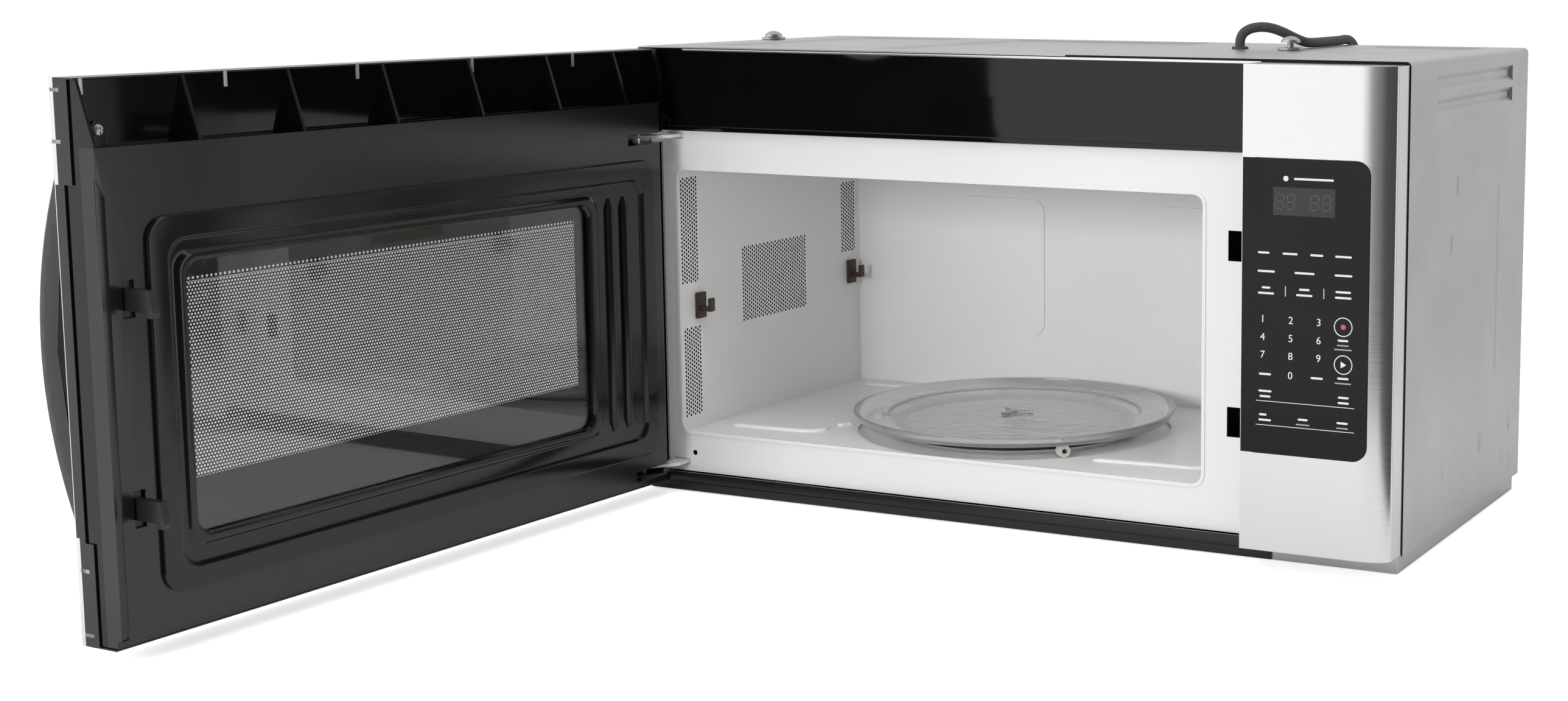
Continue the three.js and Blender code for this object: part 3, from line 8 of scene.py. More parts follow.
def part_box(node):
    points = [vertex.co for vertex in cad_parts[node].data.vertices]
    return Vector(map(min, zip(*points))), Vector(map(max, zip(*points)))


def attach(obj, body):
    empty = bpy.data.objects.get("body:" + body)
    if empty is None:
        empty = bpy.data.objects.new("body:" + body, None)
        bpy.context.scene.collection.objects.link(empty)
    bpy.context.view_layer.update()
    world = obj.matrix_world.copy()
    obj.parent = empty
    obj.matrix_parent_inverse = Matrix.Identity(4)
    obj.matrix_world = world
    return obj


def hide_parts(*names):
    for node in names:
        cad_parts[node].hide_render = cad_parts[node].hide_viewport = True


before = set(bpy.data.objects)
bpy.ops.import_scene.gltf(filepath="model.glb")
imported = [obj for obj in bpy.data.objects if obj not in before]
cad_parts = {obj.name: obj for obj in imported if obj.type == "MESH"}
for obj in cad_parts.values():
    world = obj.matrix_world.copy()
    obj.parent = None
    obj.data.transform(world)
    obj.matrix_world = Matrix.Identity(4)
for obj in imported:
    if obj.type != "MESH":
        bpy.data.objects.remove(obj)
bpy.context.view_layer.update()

# ---- camera ----
# A studio camera a little above the oven, in front of its right corner. The picture is cut from
# the left of a wider one, so the lens is shifted.
scene = bpy.context.scene
scene.view_settings.view_transform = "Standard"
lens_view = bpy.data.cameras.new("studio_view")
lens_view.sensor_width = 36
lens_view.lens = 52.83
lens_view.shift_x = -0.2182
lens_view.shift_y = -0.0487
lens_view.clip_start = 0.05
camera = bpy.data.objects.new("studio_camera", lens_view)
scene.collection.objects.link(camera)
CAMERA_AT = (0.954459, -1.775878, 0.499415)
CAMERA_YAW = math.radians(25.053)
CAMERA_PITCH = math.radians(7.696)
CAMERA_ROLL = math.radians(0.129)
camera.matrix_world = (
    Matrix.Translation(CAMERA_AT)
    @ Matrix.Rotation(CAMERA_YAW, 4, "Z")
    @ Matrix.Rotation(math.pi / 2 - CAMERA_PITCH, 4, "X")
    @ Matrix.Rotation(CAMERA_ROLL, 4, "Z")
)
scene.camera = camera

# ---- supply cord ----
# Round rubber jacketed lead, moulded in one piece with its three pin plug. It comes up through a
# grommet in the top sheet, loops once, and runs down behind the cabinet to the floor.
MM = 0.001
CORD_RADIUS = 4.5
CORD_ROUTE = [
    (150.5, 190, 424.2), (150.6, 190.1, 429.5), (152.6, 191.3, 435.2), (157.4, 194, 439.2),
    (164.2, 197.4, 441.2), (171.6, 200.8, 441.3), (179, 204.6, 439.6), (186, 209.2, 436.4),
    (192, 215, 432.6), (196.4, 222.4, 429.4), (199, 232, 427.2), (200.4, 246, 426.4),
    (201, 266, 426.3), (201, 292, 426.3), (201, 318, 426.4), (201, 334, 426.8),
    (201, 347, 425.4), (201, 358.5, 420.2), (201, 367.5, 411.6), (201, 373.2, 400),
    (201, 375.4, 385), (200.4, 375.4, 355), (199, 374.6, 310), (197, 373.8, 260),
    (194.6, 373, 210), (192, 372.6, 160), (189, 372.8, 110), (185.6, 373.8, 72),
    (181, 376, 46), (173.5, 379.2, 25.5), (161.5, 382.6, 11.4), (146, 385.2, 5.4),
    (128, 386.6, 4.9), (104, 387, 4.9), (80, 386, 4.9), (56, 383.6, 4.9),
    (32, 381, 4.9), (10, 379.6, 4.9), (-12, 379.4, 4.9),
]


def linear(colour):
    """An sRGB hex colour as the linear values that a shader takes."""
    parts = [int(colour[i : i + 2], 16) / 255 for i in (1, 3, 5)]
    return [c / 12.92 if c <= 0.04045 else ((c + 0.055) / 1.055) ** 2.4 for c in parts] + [1]


def add_node(tree, kind, inputs=None, links=None, **settings):
    """Adds a node, with its settings, the values of its inputs, and what is linked to them."""
    node = tree.nodes.new(kind)
    for name, value in settings.items():
        setattr(node, name, value)
    for name, value in (inputs or {}).items():
        node.inputs[name].default_value = value
    for name, source in (links or {}).items():
        tree.links.new(source, node.inputs[name])
    return node


def new_finish(name, colour, **sockets):
    """Starts a material: its tree, its surface shader and the place of each point in metres."""
    finish = bpy.data.materials.new(name)
    finish.use_nodes = True
    tree = finish.node_tree
    surface = tree.nodes["Principled BSDF"]
    surface.inputs["Base Color"].default_value = linear(colour)
    for socket, value in sockets.items():
        surface.inputs[socket.replace("_", " ")].default_value = value
    place = add_node(tree, "ShaderNodeTexCoord").outputs["Object"]
    return finish, tree, surface, place


def mottle(tree, surface, place, size, low, high):
    """Soft shading of the base colour between two hex colours, in patches of a size in mm."""
    patches = {"Scale": 1 / (size * MM), "Detail": 3}
    noise = add_node(tree, "ShaderNodeTexNoise", patches, {"Vector": place})
    links = {"Factor": noise.outputs["Fac"]}
    blend = add_node(tree, "ShaderNodeMix", links=links, data_type="RGBA")
    blend.inputs[6].default_value = linear(low)
    blend.inputs[7].default_value = linear(high)
    tree.links.new(blend.outputs[2], surface.inputs["Base Color"])


def grain(tree, surface, place, size, depth, detail=2):
    """Bump of a moulded, sprayed or rolled surface: grain size and depth in mm."""
    grit = {"Scale": 1 / (size * MM), "Detail": detail}
    noise = add_node(tree, "ShaderNodeTexNoise", grit, {"Vector": place})
    relief = {"Distance": depth * MM, "Strength": 1.0}
    bump = add_node(tree, "ShaderNodeBump", relief, {"Height": noise.outputs["Fac"]})
    tree.links.new(bump.outputs["Normal"], surface.inputs["Normal"])


def finish_of(name, colour, patches=None, grit=None, **sockets):
    """A finish with patches of tone (mm, two hex colours) and a grain (mm across, mm deep)."""
    finish, tree, surface, place = new_finish(name, colour, **sockets)
    if patches:
        mottle(tree, surface, place, *patches)
    if grit:
        grain(tree, surface, place, *grit)
    return finish


# Extruded rubber jacket: dull, faintly uneven along its length.
cord_rubber = finish_of(
    "cord_rubber", "#3c3b3e", (22, "#363538", "#434245"), (1.6, 0.05), Roughness=0.55
)


def route_points(points, steps=6):
    """Points along one smooth centripetal curve through the given ones, in metres."""
    p = [Vector(q) * MM for q in points]
    p = [2 * p[0] - p[1]] + p + [2 * p[-1] - p[-2]]
    made = []
    for i in range(1, len(p) - 2):
        t = [0.0]
        for a, b in zip(p[i - 1 : i + 2], p[i : i + 3]):
            t.append(t[-1] + max((b - a).length ** 0.5, 1e-6))
        for s in range(steps):
            u = t[1] + (t[2] - t[1]) * s / steps
            a1 = ((t[1] - u) * p[i - 1] + (u - t[0]) * p[i]) / (t[1] - t[0])
            a2 = ((t[2] - u) * p[i] + (u - t[1]) * p[i + 1]) / (t[2] - t[1])
            a3 = ((t[3] - u) * p[i + 1] + (u - t[2]) * p[i + 2]) / (t[3] - t[2])
            b1 = ((t[2] - u) * a1 + (u - t[0]) * a2) / (t[2] - t[0])
            b2 = ((t[3] - u) * a2 + (u - t[1]) * a3) / (t[3] - t[1])
            made.append(((t[2] - u) * b1 + (u - t[1]) * b2) / (t[2] - t[1]))
    return made + [p[-2]]


cord_line = bpy.data.curves.new("supply_cord", "CURVE")
cord_line.dimensions = "3D"
cord_line.bevel_depth = CORD_RADIUS * MM
cord_line.bevel_resolution = 5
cord_line.use_fill_caps = True
cord_points = route_points(CORD_ROUTE)
run = cord_line.splines.new("POLY")
run.points.add(len(cord_points) - 1)
for point, at in zip(run.points, cord_points):
    point.co = (*at, 1)
cord_line.materials.append(cord_rubber)
supply_cord = bpy.data.objects.new("supply_cord", cord_line)
scene.collection.objects.link(supply_cord)
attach(supply_cord, "root")
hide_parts("power_cord")


def only(piece):
    """Makes one piece the selected and active one, in object mode."""
    if bpy.context.mode != "OBJECT":
        bpy.ops.object.mode_set(mode="OBJECT")
    bpy.ops.object.select_all(action="DESELECT")
    bpy.context.view_layer.objects.active = piece
    piece.select_set(True)


def pick(piece, wanted=lambda item: True, kind="FACE"):
    """Opens a piece for editing with all or the wanted faces, edges or vertices selected."""
    only(piece)
    bpy.ops.object.mode_set(mode="EDIT")
    bpy.context.tool_settings.mesh_select_mode = [kind == k for k in ("VERT", "EDGE", "FACE")]
    bpy.ops.mesh.select_all(action="DESELECT")
    shape = bmesh.from_edit_mesh(piece.data)
    for item in {"VERT": shape.verts, "EDGE": shape.edges, "FACE": shape.faces}[kind]:
        if wanted(item):
            item.select_set(True)
    bmesh.update_edit_mesh(piece.data)


def modify(piece, kind, **settings):
    """Adds one modifier with its settings and applies it."""
    only(piece)
    modifier = piece.modifiers.new(kind.lower(), kind)
    for name, value in settings.items():
        setattr(modifier, name, value)
    bpy.ops.object.modifier_apply(modifier=modifier.name)


def smooth(piece, degrees=35):
    """Shades the piece smooth, apart from edges sharper than the angle."""
    only(piece)
    bpy.ops.object.shade_smooth_by_angle(angle=math.radians(degrees))
    modify(piece, "WEIGHTED_NORMAL", keep_sharp=True)


def coat(piece, *finishes):
    """Gives a piece its materials."""
    piece.data.materials.clear()
    for finish in finishes:
        piece.data.materials.append(finish)


def fit(piece, body, slot, *nodes):
    """The piece rides on a body and stands for these solids. Its slot is not used."""
    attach(piece, body)
    if nodes:
        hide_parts(*nodes)


def settle(piece, finish, body, *nodes, slot=None):
    """Coats and fits a piece. Its slot is named as its finish by default."""
    coat(piece, finish)
    # The frame may hold a material of the same name, and the new one then ends in a number.
    fit(piece, body, slot or finish.name.partition(".")[0], *nodes)


def rounded(piece, width, degrees=40, segments=2):
    """Rounds the edges sharper than an angle, to a width in mm."""
    modify(
        piece, "BEVEL", width=width * MM, segments=segments, limit_method="ANGLE",
        angle_limit=math.radians(degrees),
    )


def refined(node, name, rounding, segments=2):
    """A copy of a solid with its flats made whole and its edges rounded, in mm."""
    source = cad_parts[node]
    piece = bpy.data.objects.new(name, source.data.copy())
    scene.collection.objects.link(piece)
    pick(piece)
    bpy.ops.mesh.remove_doubles(threshold=0.00001)
    bpy.ops.mesh.dissolve_limited(angle_limit=math.radians(1))
    only(piece)
    if rounding:
        rounded(piece, rounding, 30, segments)
    smooth(piece)
    return piece


def dress(node, name, rounding, body, finish, slot=None, segments=2):
    """Puts a refined copy of a solid in its place, with its finish."""
    piece = refined(node, name, rounding, segments)
    settle(piece, finish, body, node, slot=slot)
    return piece


cord_grommet = dress("cord_gland", "cord_grommet", 0.6, "root", cord_rubber)
cord_plug = dress("power_plug", "cord_plug", 1.0, "root", cord_rubber)

# ---- outer wrap ----
# One sheet of bright galvanised steel bent over the top and both sides of the cabinet. Grooves, a
# faint pad and a few dimples are pressed into its sides, and shallow bands stiffen its top.
WRAP_X = 379.5
WRAP_TOP = 421.5
WRAP_FRONT = -8
WRAP_BACK = 342
WRAP_BOTTOM = 16
WRAP_SHEET = 1.2
GROOVES = [((64, 290), (394, 408)), ((64, 290), (375, 388))]  # spans along and up, in mm
SIDE_PAD = ((139, 255), (125, 302))
PRESSED = [(field, 4.2, 3.6) for field in GROOVES] + [(SIDE_PAD, 3, 0.6)]  # field, slope, depth
TOP_BANDS = [(-330, -205), (-150, 70), (236, 345)]
TOP_BAND_Y = (36, 322)
TOP_BAND_SLOPE = 6
TOP_BAND_DEPTH = 1.8
DIMPLES = [(124, 311), (109, 262), (208, 71.5), (96, 67), (303, 73), (309, 33), (281, 44)]
DIMPLE = (1.6, 7.5, 10)         # half its size: deep, along and up
CORD_HOLE = 8

# Hot dipped zinc: a soft sheen with faint spangles about 9 mm wide and slow clouds of tone.
galvanised_sheet, tree, surface, place = new_finish(
    "galvanised_sheet", "#c6c5c5", Metallic=0.85, Roughness=0.3
)
mottle(tree, surface, place, 120, "#b5b4b4", "#d4d3d3")
spangle = add_node(tree, "ShaderNodeTexVoronoi", {"Scale": 1 / (9 * MM)}, {"Vector": place})
sheen = add_node(
    tree,
    "ShaderNodeMapRange",
    {"From Min": 0.0, "From Max": 1.0, "To Min": 0.28, "To Max": 0.33},
    {"Value": spangle.outputs["Distance"]},
)
tree.links.new(sheen.outputs["Result"], surface.inputs["Roughness"])
# Thin sheet is never quite flat: waves about 90 mm across bend what it reflects.
grain(tree, surface, place, 90, 0.4, detail=1)


def added(primitive, **settings):
    """Adds a primitive with its size and place, and puts these in its mesh."""
    only(supply_cord)
    primitive(**settings)
    bpy.ops.object.transform_apply(location=True, rotation=True, scale=True)
    return bpy.context.active_object


def start_disc(radius, thick, at, turn=(0, 0, 0), sides=32):
    """A round or many sided disc, lying flat unless it is turned, in mm."""
    return added(
        bpy.ops.mesh.primitive_cylinder_add, vertices=sides, radius=radius * MM,
        depth=thick * MM, location=[c * MM for c in at], rotation=turn,
    )


def start_block(name, low, high):
    """A block between two corners in mm."""
    middle = (Vector(low) + Vector(high)) / 2 * MM
    size = (Vector(high) - Vector(low)) * MM
    piece = added(bpy.ops.mesh.primitive_cube_add, size=1, location=middle, scale=size)
    piece.name = name
    piece.data.name = name
    return piece


def near(value, target, room=0.05):
    """True where a length in metres is within some mm of one in mm."""
    return abs(value / MM - target) < room


def between(value, ends):
    """True where a length in metres lies between two in mm."""
    return ends[0] <= value / MM <= ends[1]


def runs_back(edge, axis, at):
    """True for an edge from front to rear, at a place in mm on another axis."""
    a, b = (v.co for v in edge.verts)
    return near(a["xyz".index(axis)], at) and near(a.x - b.x, 0) and near(a.z - b.z, 0)


def in_field(face, axes, spans):
    """True where a face's middle lies in a span in mm on each of these axes."""
    middle = face.calc_center_median()
    return all(between(getattr(middle, axis), span) for axis, span in zip(axes, spans))


def slice_piece(piece, cuts):
    """Cuts the faces of a piece along planes: pairs of an axis and a place in mm."""
    for axis, at_mm in cuts:
        pick(piece)
        at = [0, 0, 0]
        at["xyz".index(axis)] = at_mm * MM
        along = [0, 0, 0]
        along["xyz".index(axis)] = 1
        bpy.ops.mesh.bisect(plane_co=at, plane_no=along)
    only(piece)


def press(piece, wanted, edge, shift):
    """Presses the wanted faces in or out: the width of the sloped edge and a shift, in mm."""
    pick(piece, wanted)
    bpy.ops.mesh.inset(thickness=edge * MM, depth=0)
    bpy.ops.transform.translate(value=Vector(shift) * MM)
    only(piece)


def cut_away(piece, tool, keep="DIFFERENCE"):
    """Cuts a piece with another one, which is then gone."""
    modify(piece, "BOOLEAN", object=tool, operation=keep, solver="EXACT")
    bpy.data.objects.remove(tool)


def joined(pieces, name):
    """Makes one piece of several."""
    only(pieces[0])
    for piece in pieces[1:]:
        piece.select_set(True)
    if len(pieces) > 1:
        bpy.ops.object.join()
    pieces[0].name = name
    pieces[0].data.name = name
    return pieces[0]


def bevel_edges(piece, wanted, width, segments):
    """Rounds the wanted edges of a piece, to a width in mm."""
    pick(piece, wanted, "EDGE")
    bpy.ops.mesh.bevel(offset=width * MM, segments=segments, affect="EDGES")


outer_skin = start_block(
    "outer_skin", (-WRAP_X, WRAP_FRONT, WRAP_BOTTOM), (WRAP_X, WRAP_BACK, WRAP_TOP)
)
pick(outer_skin, lambda f: abs(f.normal.y) > 0.9 or f.normal.z < -0.9)
bpy.ops.mesh.delete(type="FACE")
bevel_edges(outer_skin, lambda e: runs_back(e, "z", WRAP_TOP), 4, 4)
slice_piece(outer_skin, [("y", y) for field, _, _ in PRESSED for y in field[0]])
slice_piece(outer_skin, [("z", z) for field, _, _ in PRESSED for z in field[1]])
for side in (1, -1):
    for field, slope, deep in PRESSED:
        press(
            outer_skin,
            lambda f: f.normal.x * side > 0.9 and in_field(f, "yz", field),
            slope,
            (-side * deep, 0, 0),
        )
slice_piece(outer_skin, [("x", x) for band in TOP_BANDS for x in band])
slice_piece(outer_skin, [("y", y) for y in TOP_BAND_Y])
for band in TOP_BANDS:
    press(
        outer_skin,
        lambda f: f.normal.z > 0.9 and in_field(f, "xy", (band, TOP_BAND_Y)),
        TOP_BAND_SLOPE,
        (0, 0, -TOP_BAND_DEPTH),
    )
pick(outer_skin)
bpy.ops.mesh.normals_make_consistent(inside=False)
modify(outer_skin, "SOLIDIFY", thickness=WRAP_SHEET * MM, offset=-1)
dimples = []
for y, z in DIMPLES:
    for side in (1, -1):
        dimples.append(
            added(
                bpy.ops.mesh.primitive_uv_sphere_add, segments=24, ring_count=16, radius=1,
                location=Vector((side * (WRAP_X + 0.5), y, z)) * MM, scale=Vector(DIMPLE) * MM,
            )
        )
cut_away(outer_skin, joined(dimples, "dimples"))
cut_away(outer_skin, start_disc(CORD_HOLE, 6, (*CORD_ROUTE[0][:2], WRAP_TOP)))
smooth(outer_skin, 25)
# Painted shade for cut steel edges: dull and near black, for the shade on the front one beside the
# control side and inside the liner's holes.
painted_shade_edge = finish_of("painted_shade_edge", "#1b1a1a", (2, "#161515", "#232222"), Metallic=0.4, Roughness=0.6)
coat(outer_skin, galvanised_sheet, painted_shade_edge)
# Painted shade: the wrap's front edge on the control side is coloured near black.
for face in outer_skin.data.polygons:
    if face.normal.y < -0.9 and face.center.y < (WRAP_FRONT + 0.1) * MM and face.center.x > 0:
        face.material_index = 1
fit(outer_skin, "root", "galvanised_sheet", "outer_wrap")

# ---- white front frame ----
# Pressed steel sprayed with baked enamel: smooth and hard, slightly rippled like orange peel. A
# small hole is punched beside its lower left corner.
FACING = (math.pi / 2, 0, 0)   # turns a disc to face the front
PUNCHED_AT = (-329, 0, 36)
PUNCHED_RADIUS = 2.6
white_enamel = finish_of(
    "white_enamel", "#d9d9da", (160, "#d6d6d7", "#dcdcdd"), (3.2, 0.03),
    Roughness=0.3, Coat_Weight=0.35, Coat_Roughness=0.12
)
oven_front = refined("front_frame", "oven_front", 0.35)
cut_away(oven_front, start_disc(PUNCHED_RADIUS, 8, PUNCHED_AT, FACING, 24))
smooth(oven_front)
settle(oven_front, white_enamel, "root", "front_frame")

# ---- oven liner ----
# Welded steel box with the same enamel. Four fields of holes in its left wall let air through,
# and beads pressed into its floor keep it from drumming.
LINER_LEFT = -348
LINER_FLOOR = 53
HOLE_PITCH = 3.9
HOLE_RADIUS = 1.3
HOLE_FIELDS = [  # y from and to, z from and to
    ((13, 35), (196, 300)),
    ((15, 37), (67, 155)),
    ((113, 222), (147, 222)),
    ((297, 320), (195, 271)),
]
liner_enamel = finish_of(
    "liner_enamel", "#ebebea", (90, "#e8e8e7", "#eeeeed"), (3.2, 0.03),
    Roughness=0.36, Coat_Weight=0.25, Coat_Roughness=0.2
)


def repeated(piece, count, step):
    """Repeats a piece in a row, with a step in mm."""
    modify(
        piece,
        "ARRAY",
        count=count,
        use_relative_offset=False,
        use_constant_offset=True,
        constant_offset_displace=Vector(step) * MM,
    )


oven_liner = refined("oven_cavity", "oven_liner", 0)
column_step = HOLE_PITCH * math.sqrt(3) / 2
punches = []
for (y0, y1), (z0, z1) in HOLE_FIELDS:
    for column in (0, 1):
        at = (LINER_LEFT, y0 + column * column_step, z0 + column * HOLE_PITCH / 2)
        punch = start_disc(HOLE_RADIUS, 6, at, (0, math.pi / 2, 0), 8)
        repeated(punch, int((y1 - y0) / column_step / 2) + 1, (0, 2 * column_step, 0))
        repeated(punch, int((z1 - z0) / HOLE_PITCH), (0, 0, HOLE_PITCH))
        punches.append(punch)
cut_away(oven_liner, joined(punches, "punches"))
smooth(oven_liner, 30)
# The walls of the holes take the painted shade, near black, so that each one reads as a dark dot.
coat(oven_liner, liner_enamel, painted_shade_edge)
for face in oven_liner.data.polygons:
    in_sheet = LINER_LEFT - 1.3 < face.center.x / MM < LINER_LEFT - 0.05
    if in_sheet and abs(face.normal.x) < 0.5 and face.area < 5 * MM * MM:
        face.material_index = 1
fit(oven_liner, "root", "white_enamel", "oven_cavity")


def pressed_bead(name, points, radius, height):
    """A round bead along points in mm on a flat, flattened to its height, with soft ends."""
    line = bpy.data.curves.new(name, "CURVE")
    line.dimensions = "3D"
    line.bevel_depth = radius * MM
    line.bevel_resolution = 4
    line.use_fill_caps = True
    smooth_points = route_points(points, 5)
    run = line.splines.new("POLY")
    run.points.add(len(smooth_points) - 1)
    for i, (point, at) in enumerate(zip(run.points, smooth_points)):
        point.co = (*at, 1)
        point.radius = 0.35 if i in (0, len(smooth_points) - 1) else 1.0
    bead = bpy.data.objects.new(name, line)
    scene.collection.objects.link(bead)
    only(bead)
    bpy.ops.object.convert(target="MESH")
    pick(bead)
    bpy.ops.transform.resize(
        value=(1, 1, height / radius), center_override=(0, 0, points[0][2] * MM)
    )
    smooth(bead, 60)
    return bead


FLOOR_BEADS = [
    [(-322, 55), (-300, 56), (-270, 58), (-243, 61), (-233, 68), (-232, 80)],
    [(-229, 96), (-226, 104), (-222, 110)],
    [(62, 63), (90, 66), (130, 70), (158, 72), (170, 80), (176, 96)],
    [(-322, 300), (-240, 303), (-232, 290)],
    [(176, 300), (100, 303), (90, 290)],
]
beads = []
for points in FLOOR_BEADS:
    on_floor = [(x, y, LINER_FLOOR) for x, y in points]
    beads.append(pressed_bead("bead", on_floor, 4.2, 2.6))
floor_beads = joined(beads, "floor_beads")
settle(floor_beads, liner_enamel, "root", slot="white_enamel")

# ---- rack hooks ----
# Four hooks of glass filled, heat resistant plastic: a plate pushed into slots in the liner's side
# wall, and an upturned arm that the rack's wire rests in.
PLATE = (4, 14, 25)            # out from the wall, along it, and up, in mm
ARM_REACH = 16
ARM_WIDE = 8
ARM_SPAN = (7, 11.5)           # bottom and top of the arm, over the plate's foot
TIP = (3.6, 8.5)               # thickness of the upturned end, and its height over the arm
hook_brown = finish_of(
    "hook_brown", "#3b2b23", (6, "#33251e", "#443229"), (0.9, 0.04), Roughness=0.45
)


def hook_block(name, corner, inward, out, wide, up):
    """A block of a hook, in mm: its span out from the wall, its width along it, its span up."""
    wall, y, z = corner
    near_end, far_end = sorted((wall + inward * out[0], wall + inward * out[1]))
    return start_block(
        name, (near_end, y - wide / 2, z + up[0]), (far_end, y + wide / 2, z + up[1])
    )


for side, inward in (("left", 1), ("right", -1)):
    for end, away in (("front", 0.3), ("rear", 0.72)):
        low, high = (Vector(corner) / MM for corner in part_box(f"rack_hook_{end}_{side}"))
        wall = low.x if inward > 0 else high.x
        y = low.y + (high.y - low.y) * away
        z = (low.z + high.z) / 2 - PLATE[2] / 2
        corner = (wall, y, z)
        plate = hook_block("plate", corner, inward, (0, PLATE[0]), PLATE[1], (0, PLATE[2]))
        arm = hook_block("arm", corner, inward, (PLATE[0] - 1, ARM_REACH), ARM_WIDE, ARM_SPAN)
        bend = ARM_REACH - TIP[0]
        slice_piece(arm, [("x", wall + inward * bend)])
        pick(
            arm,
            lambda f: f.normal.z > 0.9 and abs(f.calc_center_median().x / MM - wall) > bend,
        )
        bpy.ops.mesh.extrude_region_move(TRANSFORM_OT_translate={"value": (0, 0, TIP[1] * MM)})
        for part in (plate, arm):
            rounded(part, 1.1, segments=3)
        hook = joined([plate, arm], f"hook_{end}_{side}")
        smooth(hook, 50)
        settle(hook, hook_brown, "root", f"rack_hook_{end}_{side}")

# ---- turntable ----
# Pressed tempered glass tray with a raised star at its hub, on a dark moulded ring with three
# white wheels. A plastic coupler turns it.
TABLE_AXIS = (-73, 168.3)
TRAY_PROFILE = [
    (0, 64.1), (12, 64.1), (12, 62.6), (143, 62.6), (150, 63.6), (154, 67.5), (156, 71.7),
    (155.6, 73.1), (153.6, 73.7), (151.6, 72.9), (147.5, 69.2), (143.5, 68.6), (124, 68.5),
    (121.5, 68), (120.5, 67.1), (17, 67.1), (15, 68.1), (0, 68.1),
]
# Clear soda lime glass, pressed: soft waves and a faint grey cast in its thickness.
clear_glass = finish_of(
    "clear_glass", "#fbfdfc", grit=(16, 0.12, 1), Roughness=0.03, IOR=1.5, Transmission_Weight=0.86
)


def merge(threshold=0.02):
    """Merges the doubles of a piece open for editing, in mm, and turns its faces outwards."""
    bpy.ops.mesh.select_all(action="SELECT")
    bpy.ops.mesh.remove_doubles(threshold=threshold * MM)
    bpy.ops.mesh.normals_make_consistent(inside=False)


def spun(name, profile, axis, steps=96):
    """A profile of radius and height in mm, spun once round an upright axis."""
    piece = added(bpy.ops.mesh.primitive_circle_add, vertices=3, radius=MM)
    piece.name = name
    piece.data.name = name
    pick(piece, kind="VERT")
    bpy.ops.mesh.delete(type="VERT")
    shape = bmesh.from_edit_mesh(piece.data)
    line = [shape.verts.new(((axis[0] + r) * MM, axis[1] * MM, z * MM)) for r, z in profile]
    for a, b in zip(line, line[1:]):
        shape.edges.new((a, b))
    bmesh.update_edit_mesh(piece.data)
    bpy.ops.mesh.select_all(action="SELECT")
    bpy.ops.mesh.spin(
        steps=steps, angle=2 * math.pi, center=(axis[0] * MM, axis[1] * MM, 0), axis=(0, 0, 1)
    )
    merge()
    only(piece)
    return piece


glass_tray = spun("glass_tray", TRAY_PROFILE, TABLE_AXIS)
smooth(glass_tray, 40)
settle(glass_tray, clear_glass, "turntable", "turntable_tray")
STAR_TURN = 20
arms = []
for turn in (0, 120, 240):
    arm = start_block("arm", (-73, 164.8, 67.6), (-55, 171.8, 69.6))
    pick(arm)
    bpy.ops.transform.rotate(
        value=-math.radians(turn + STAR_TURN),
        orient_axis="Z",
        center_override=(TABLE_AXIS[0] * MM, TABLE_AXIS[1] * MM, 0),
    )
    rounded(arm, 0.9, segments=3)
    arms.append(arm)
hub_star = joined(arms, "hub_star")
smooth(hub_star, 60)
settle(hub_star, clear_glass, "turntable")

# Moulded glass filled nylon, dark and dull.
satin_black = finish_of(
    "satin_black", "#151416", (60, "#121113", "#19181a"), (0.9, 0.012),
    Roughness=0.2, Specular_IOR_Level=0.6
)
dress("roller_ring", "track_ring", 0.6, "roller_ring", satin_black)
white_plastic = finish_of(
    "white_plastic", "#dcdbd8", (30, "#d7d6d2", "#e1e0dd"), (1.0, 0.02), Roughness=0.45
)
for i in (1, 2, 3):
    dress(f"roller_wheel_{i}", f"track_wheel_{i}", 0.6, f"wheel_{i}", white_plastic)
dress("drive_coupler", "turntable_coupler", 0.4, "turntable", white_plastic)

# ---- control side ----
# Stainless sheet formed round a soft bullnose and brushed across. A glossy touch panel with a
# dark display window is let into it, printed with plain digits, bars and two round symbols.
PANEL_FACE = -46
BULLNOSE_WIDE = 28
BULLNOSE_DEEP = 12
BULLNOSE_END = 378.5
brushed_stainless, tree, surface, place = new_finish(
    "brushed_stainless", "#eae9e8", Metallic=1.0, Roughness=0.21
)
# Brush lines run across the panel. Real ones are 0.1 mm apart; these are 0.5 mm so that they show.
across = add_node(
    tree,
    "ShaderNodeMapping",
    {"Scale": (1 / (70 * MM), 1 / (70 * MM), 1 / (0.5 * MM))},
    {"Vector": place},
)
lines = add_node(
    tree, "ShaderNodeTexNoise", {"Scale": 1.0, "Detail": 2}, {"Vector": across.outputs["Vector"]}
)
shine = add_node(
    tree,
    "ShaderNodeMapRange",
    {"From Min": 0.3, "From Max": 0.7, "To Min": 0.18, "To Max": 0.24},
    {"Value": lines.outputs["Fac"]},
)
tree.links.new(shine.outputs["Result"], surface.inputs["Roughness"])
brushing = {"Distance": 0.0012 * MM, "Strength": 1.0}
scratch = add_node(tree, "ShaderNodeBump", brushing, {"Height": lines.outputs["Fac"]})
tree.links.new(scratch.outputs["Normal"], surface.inputs["Normal"])
panel_body = refined("control_panel", "panel_body", 0)
bullnose = start_block("bullnose", (240, PANEL_FACE, 10), (BULLNOSE_END, 5, 430))
bevel_edges(
    bullnose,
    lambda e: all(near(v.co.x, BULLNOSE_END) and near(v.co.y, PANEL_FACE) for v in e.verts),
    BULLNOSE_WIDE,
    22,
)
round_from = BULLNOSE_END - BULLNOSE_WIDE - 0.6
pick(bullnose, lambda v: v.co.x > round_from * MM and v.co.y < 4 * MM, "VERT")
bpy.ops.transform.resize(
    value=(1, BULLNOSE_DEEP / BULLNOSE_WIDE, 1), center_override=(0, PANEL_FACE * MM, 0)
)
cut_away(panel_body, bullnose, "INTERSECT")
rounded(panel_body, 0.35, 50)
smooth(panel_body, 30)
settle(panel_body, brushed_stainless, "root", "control_panel")

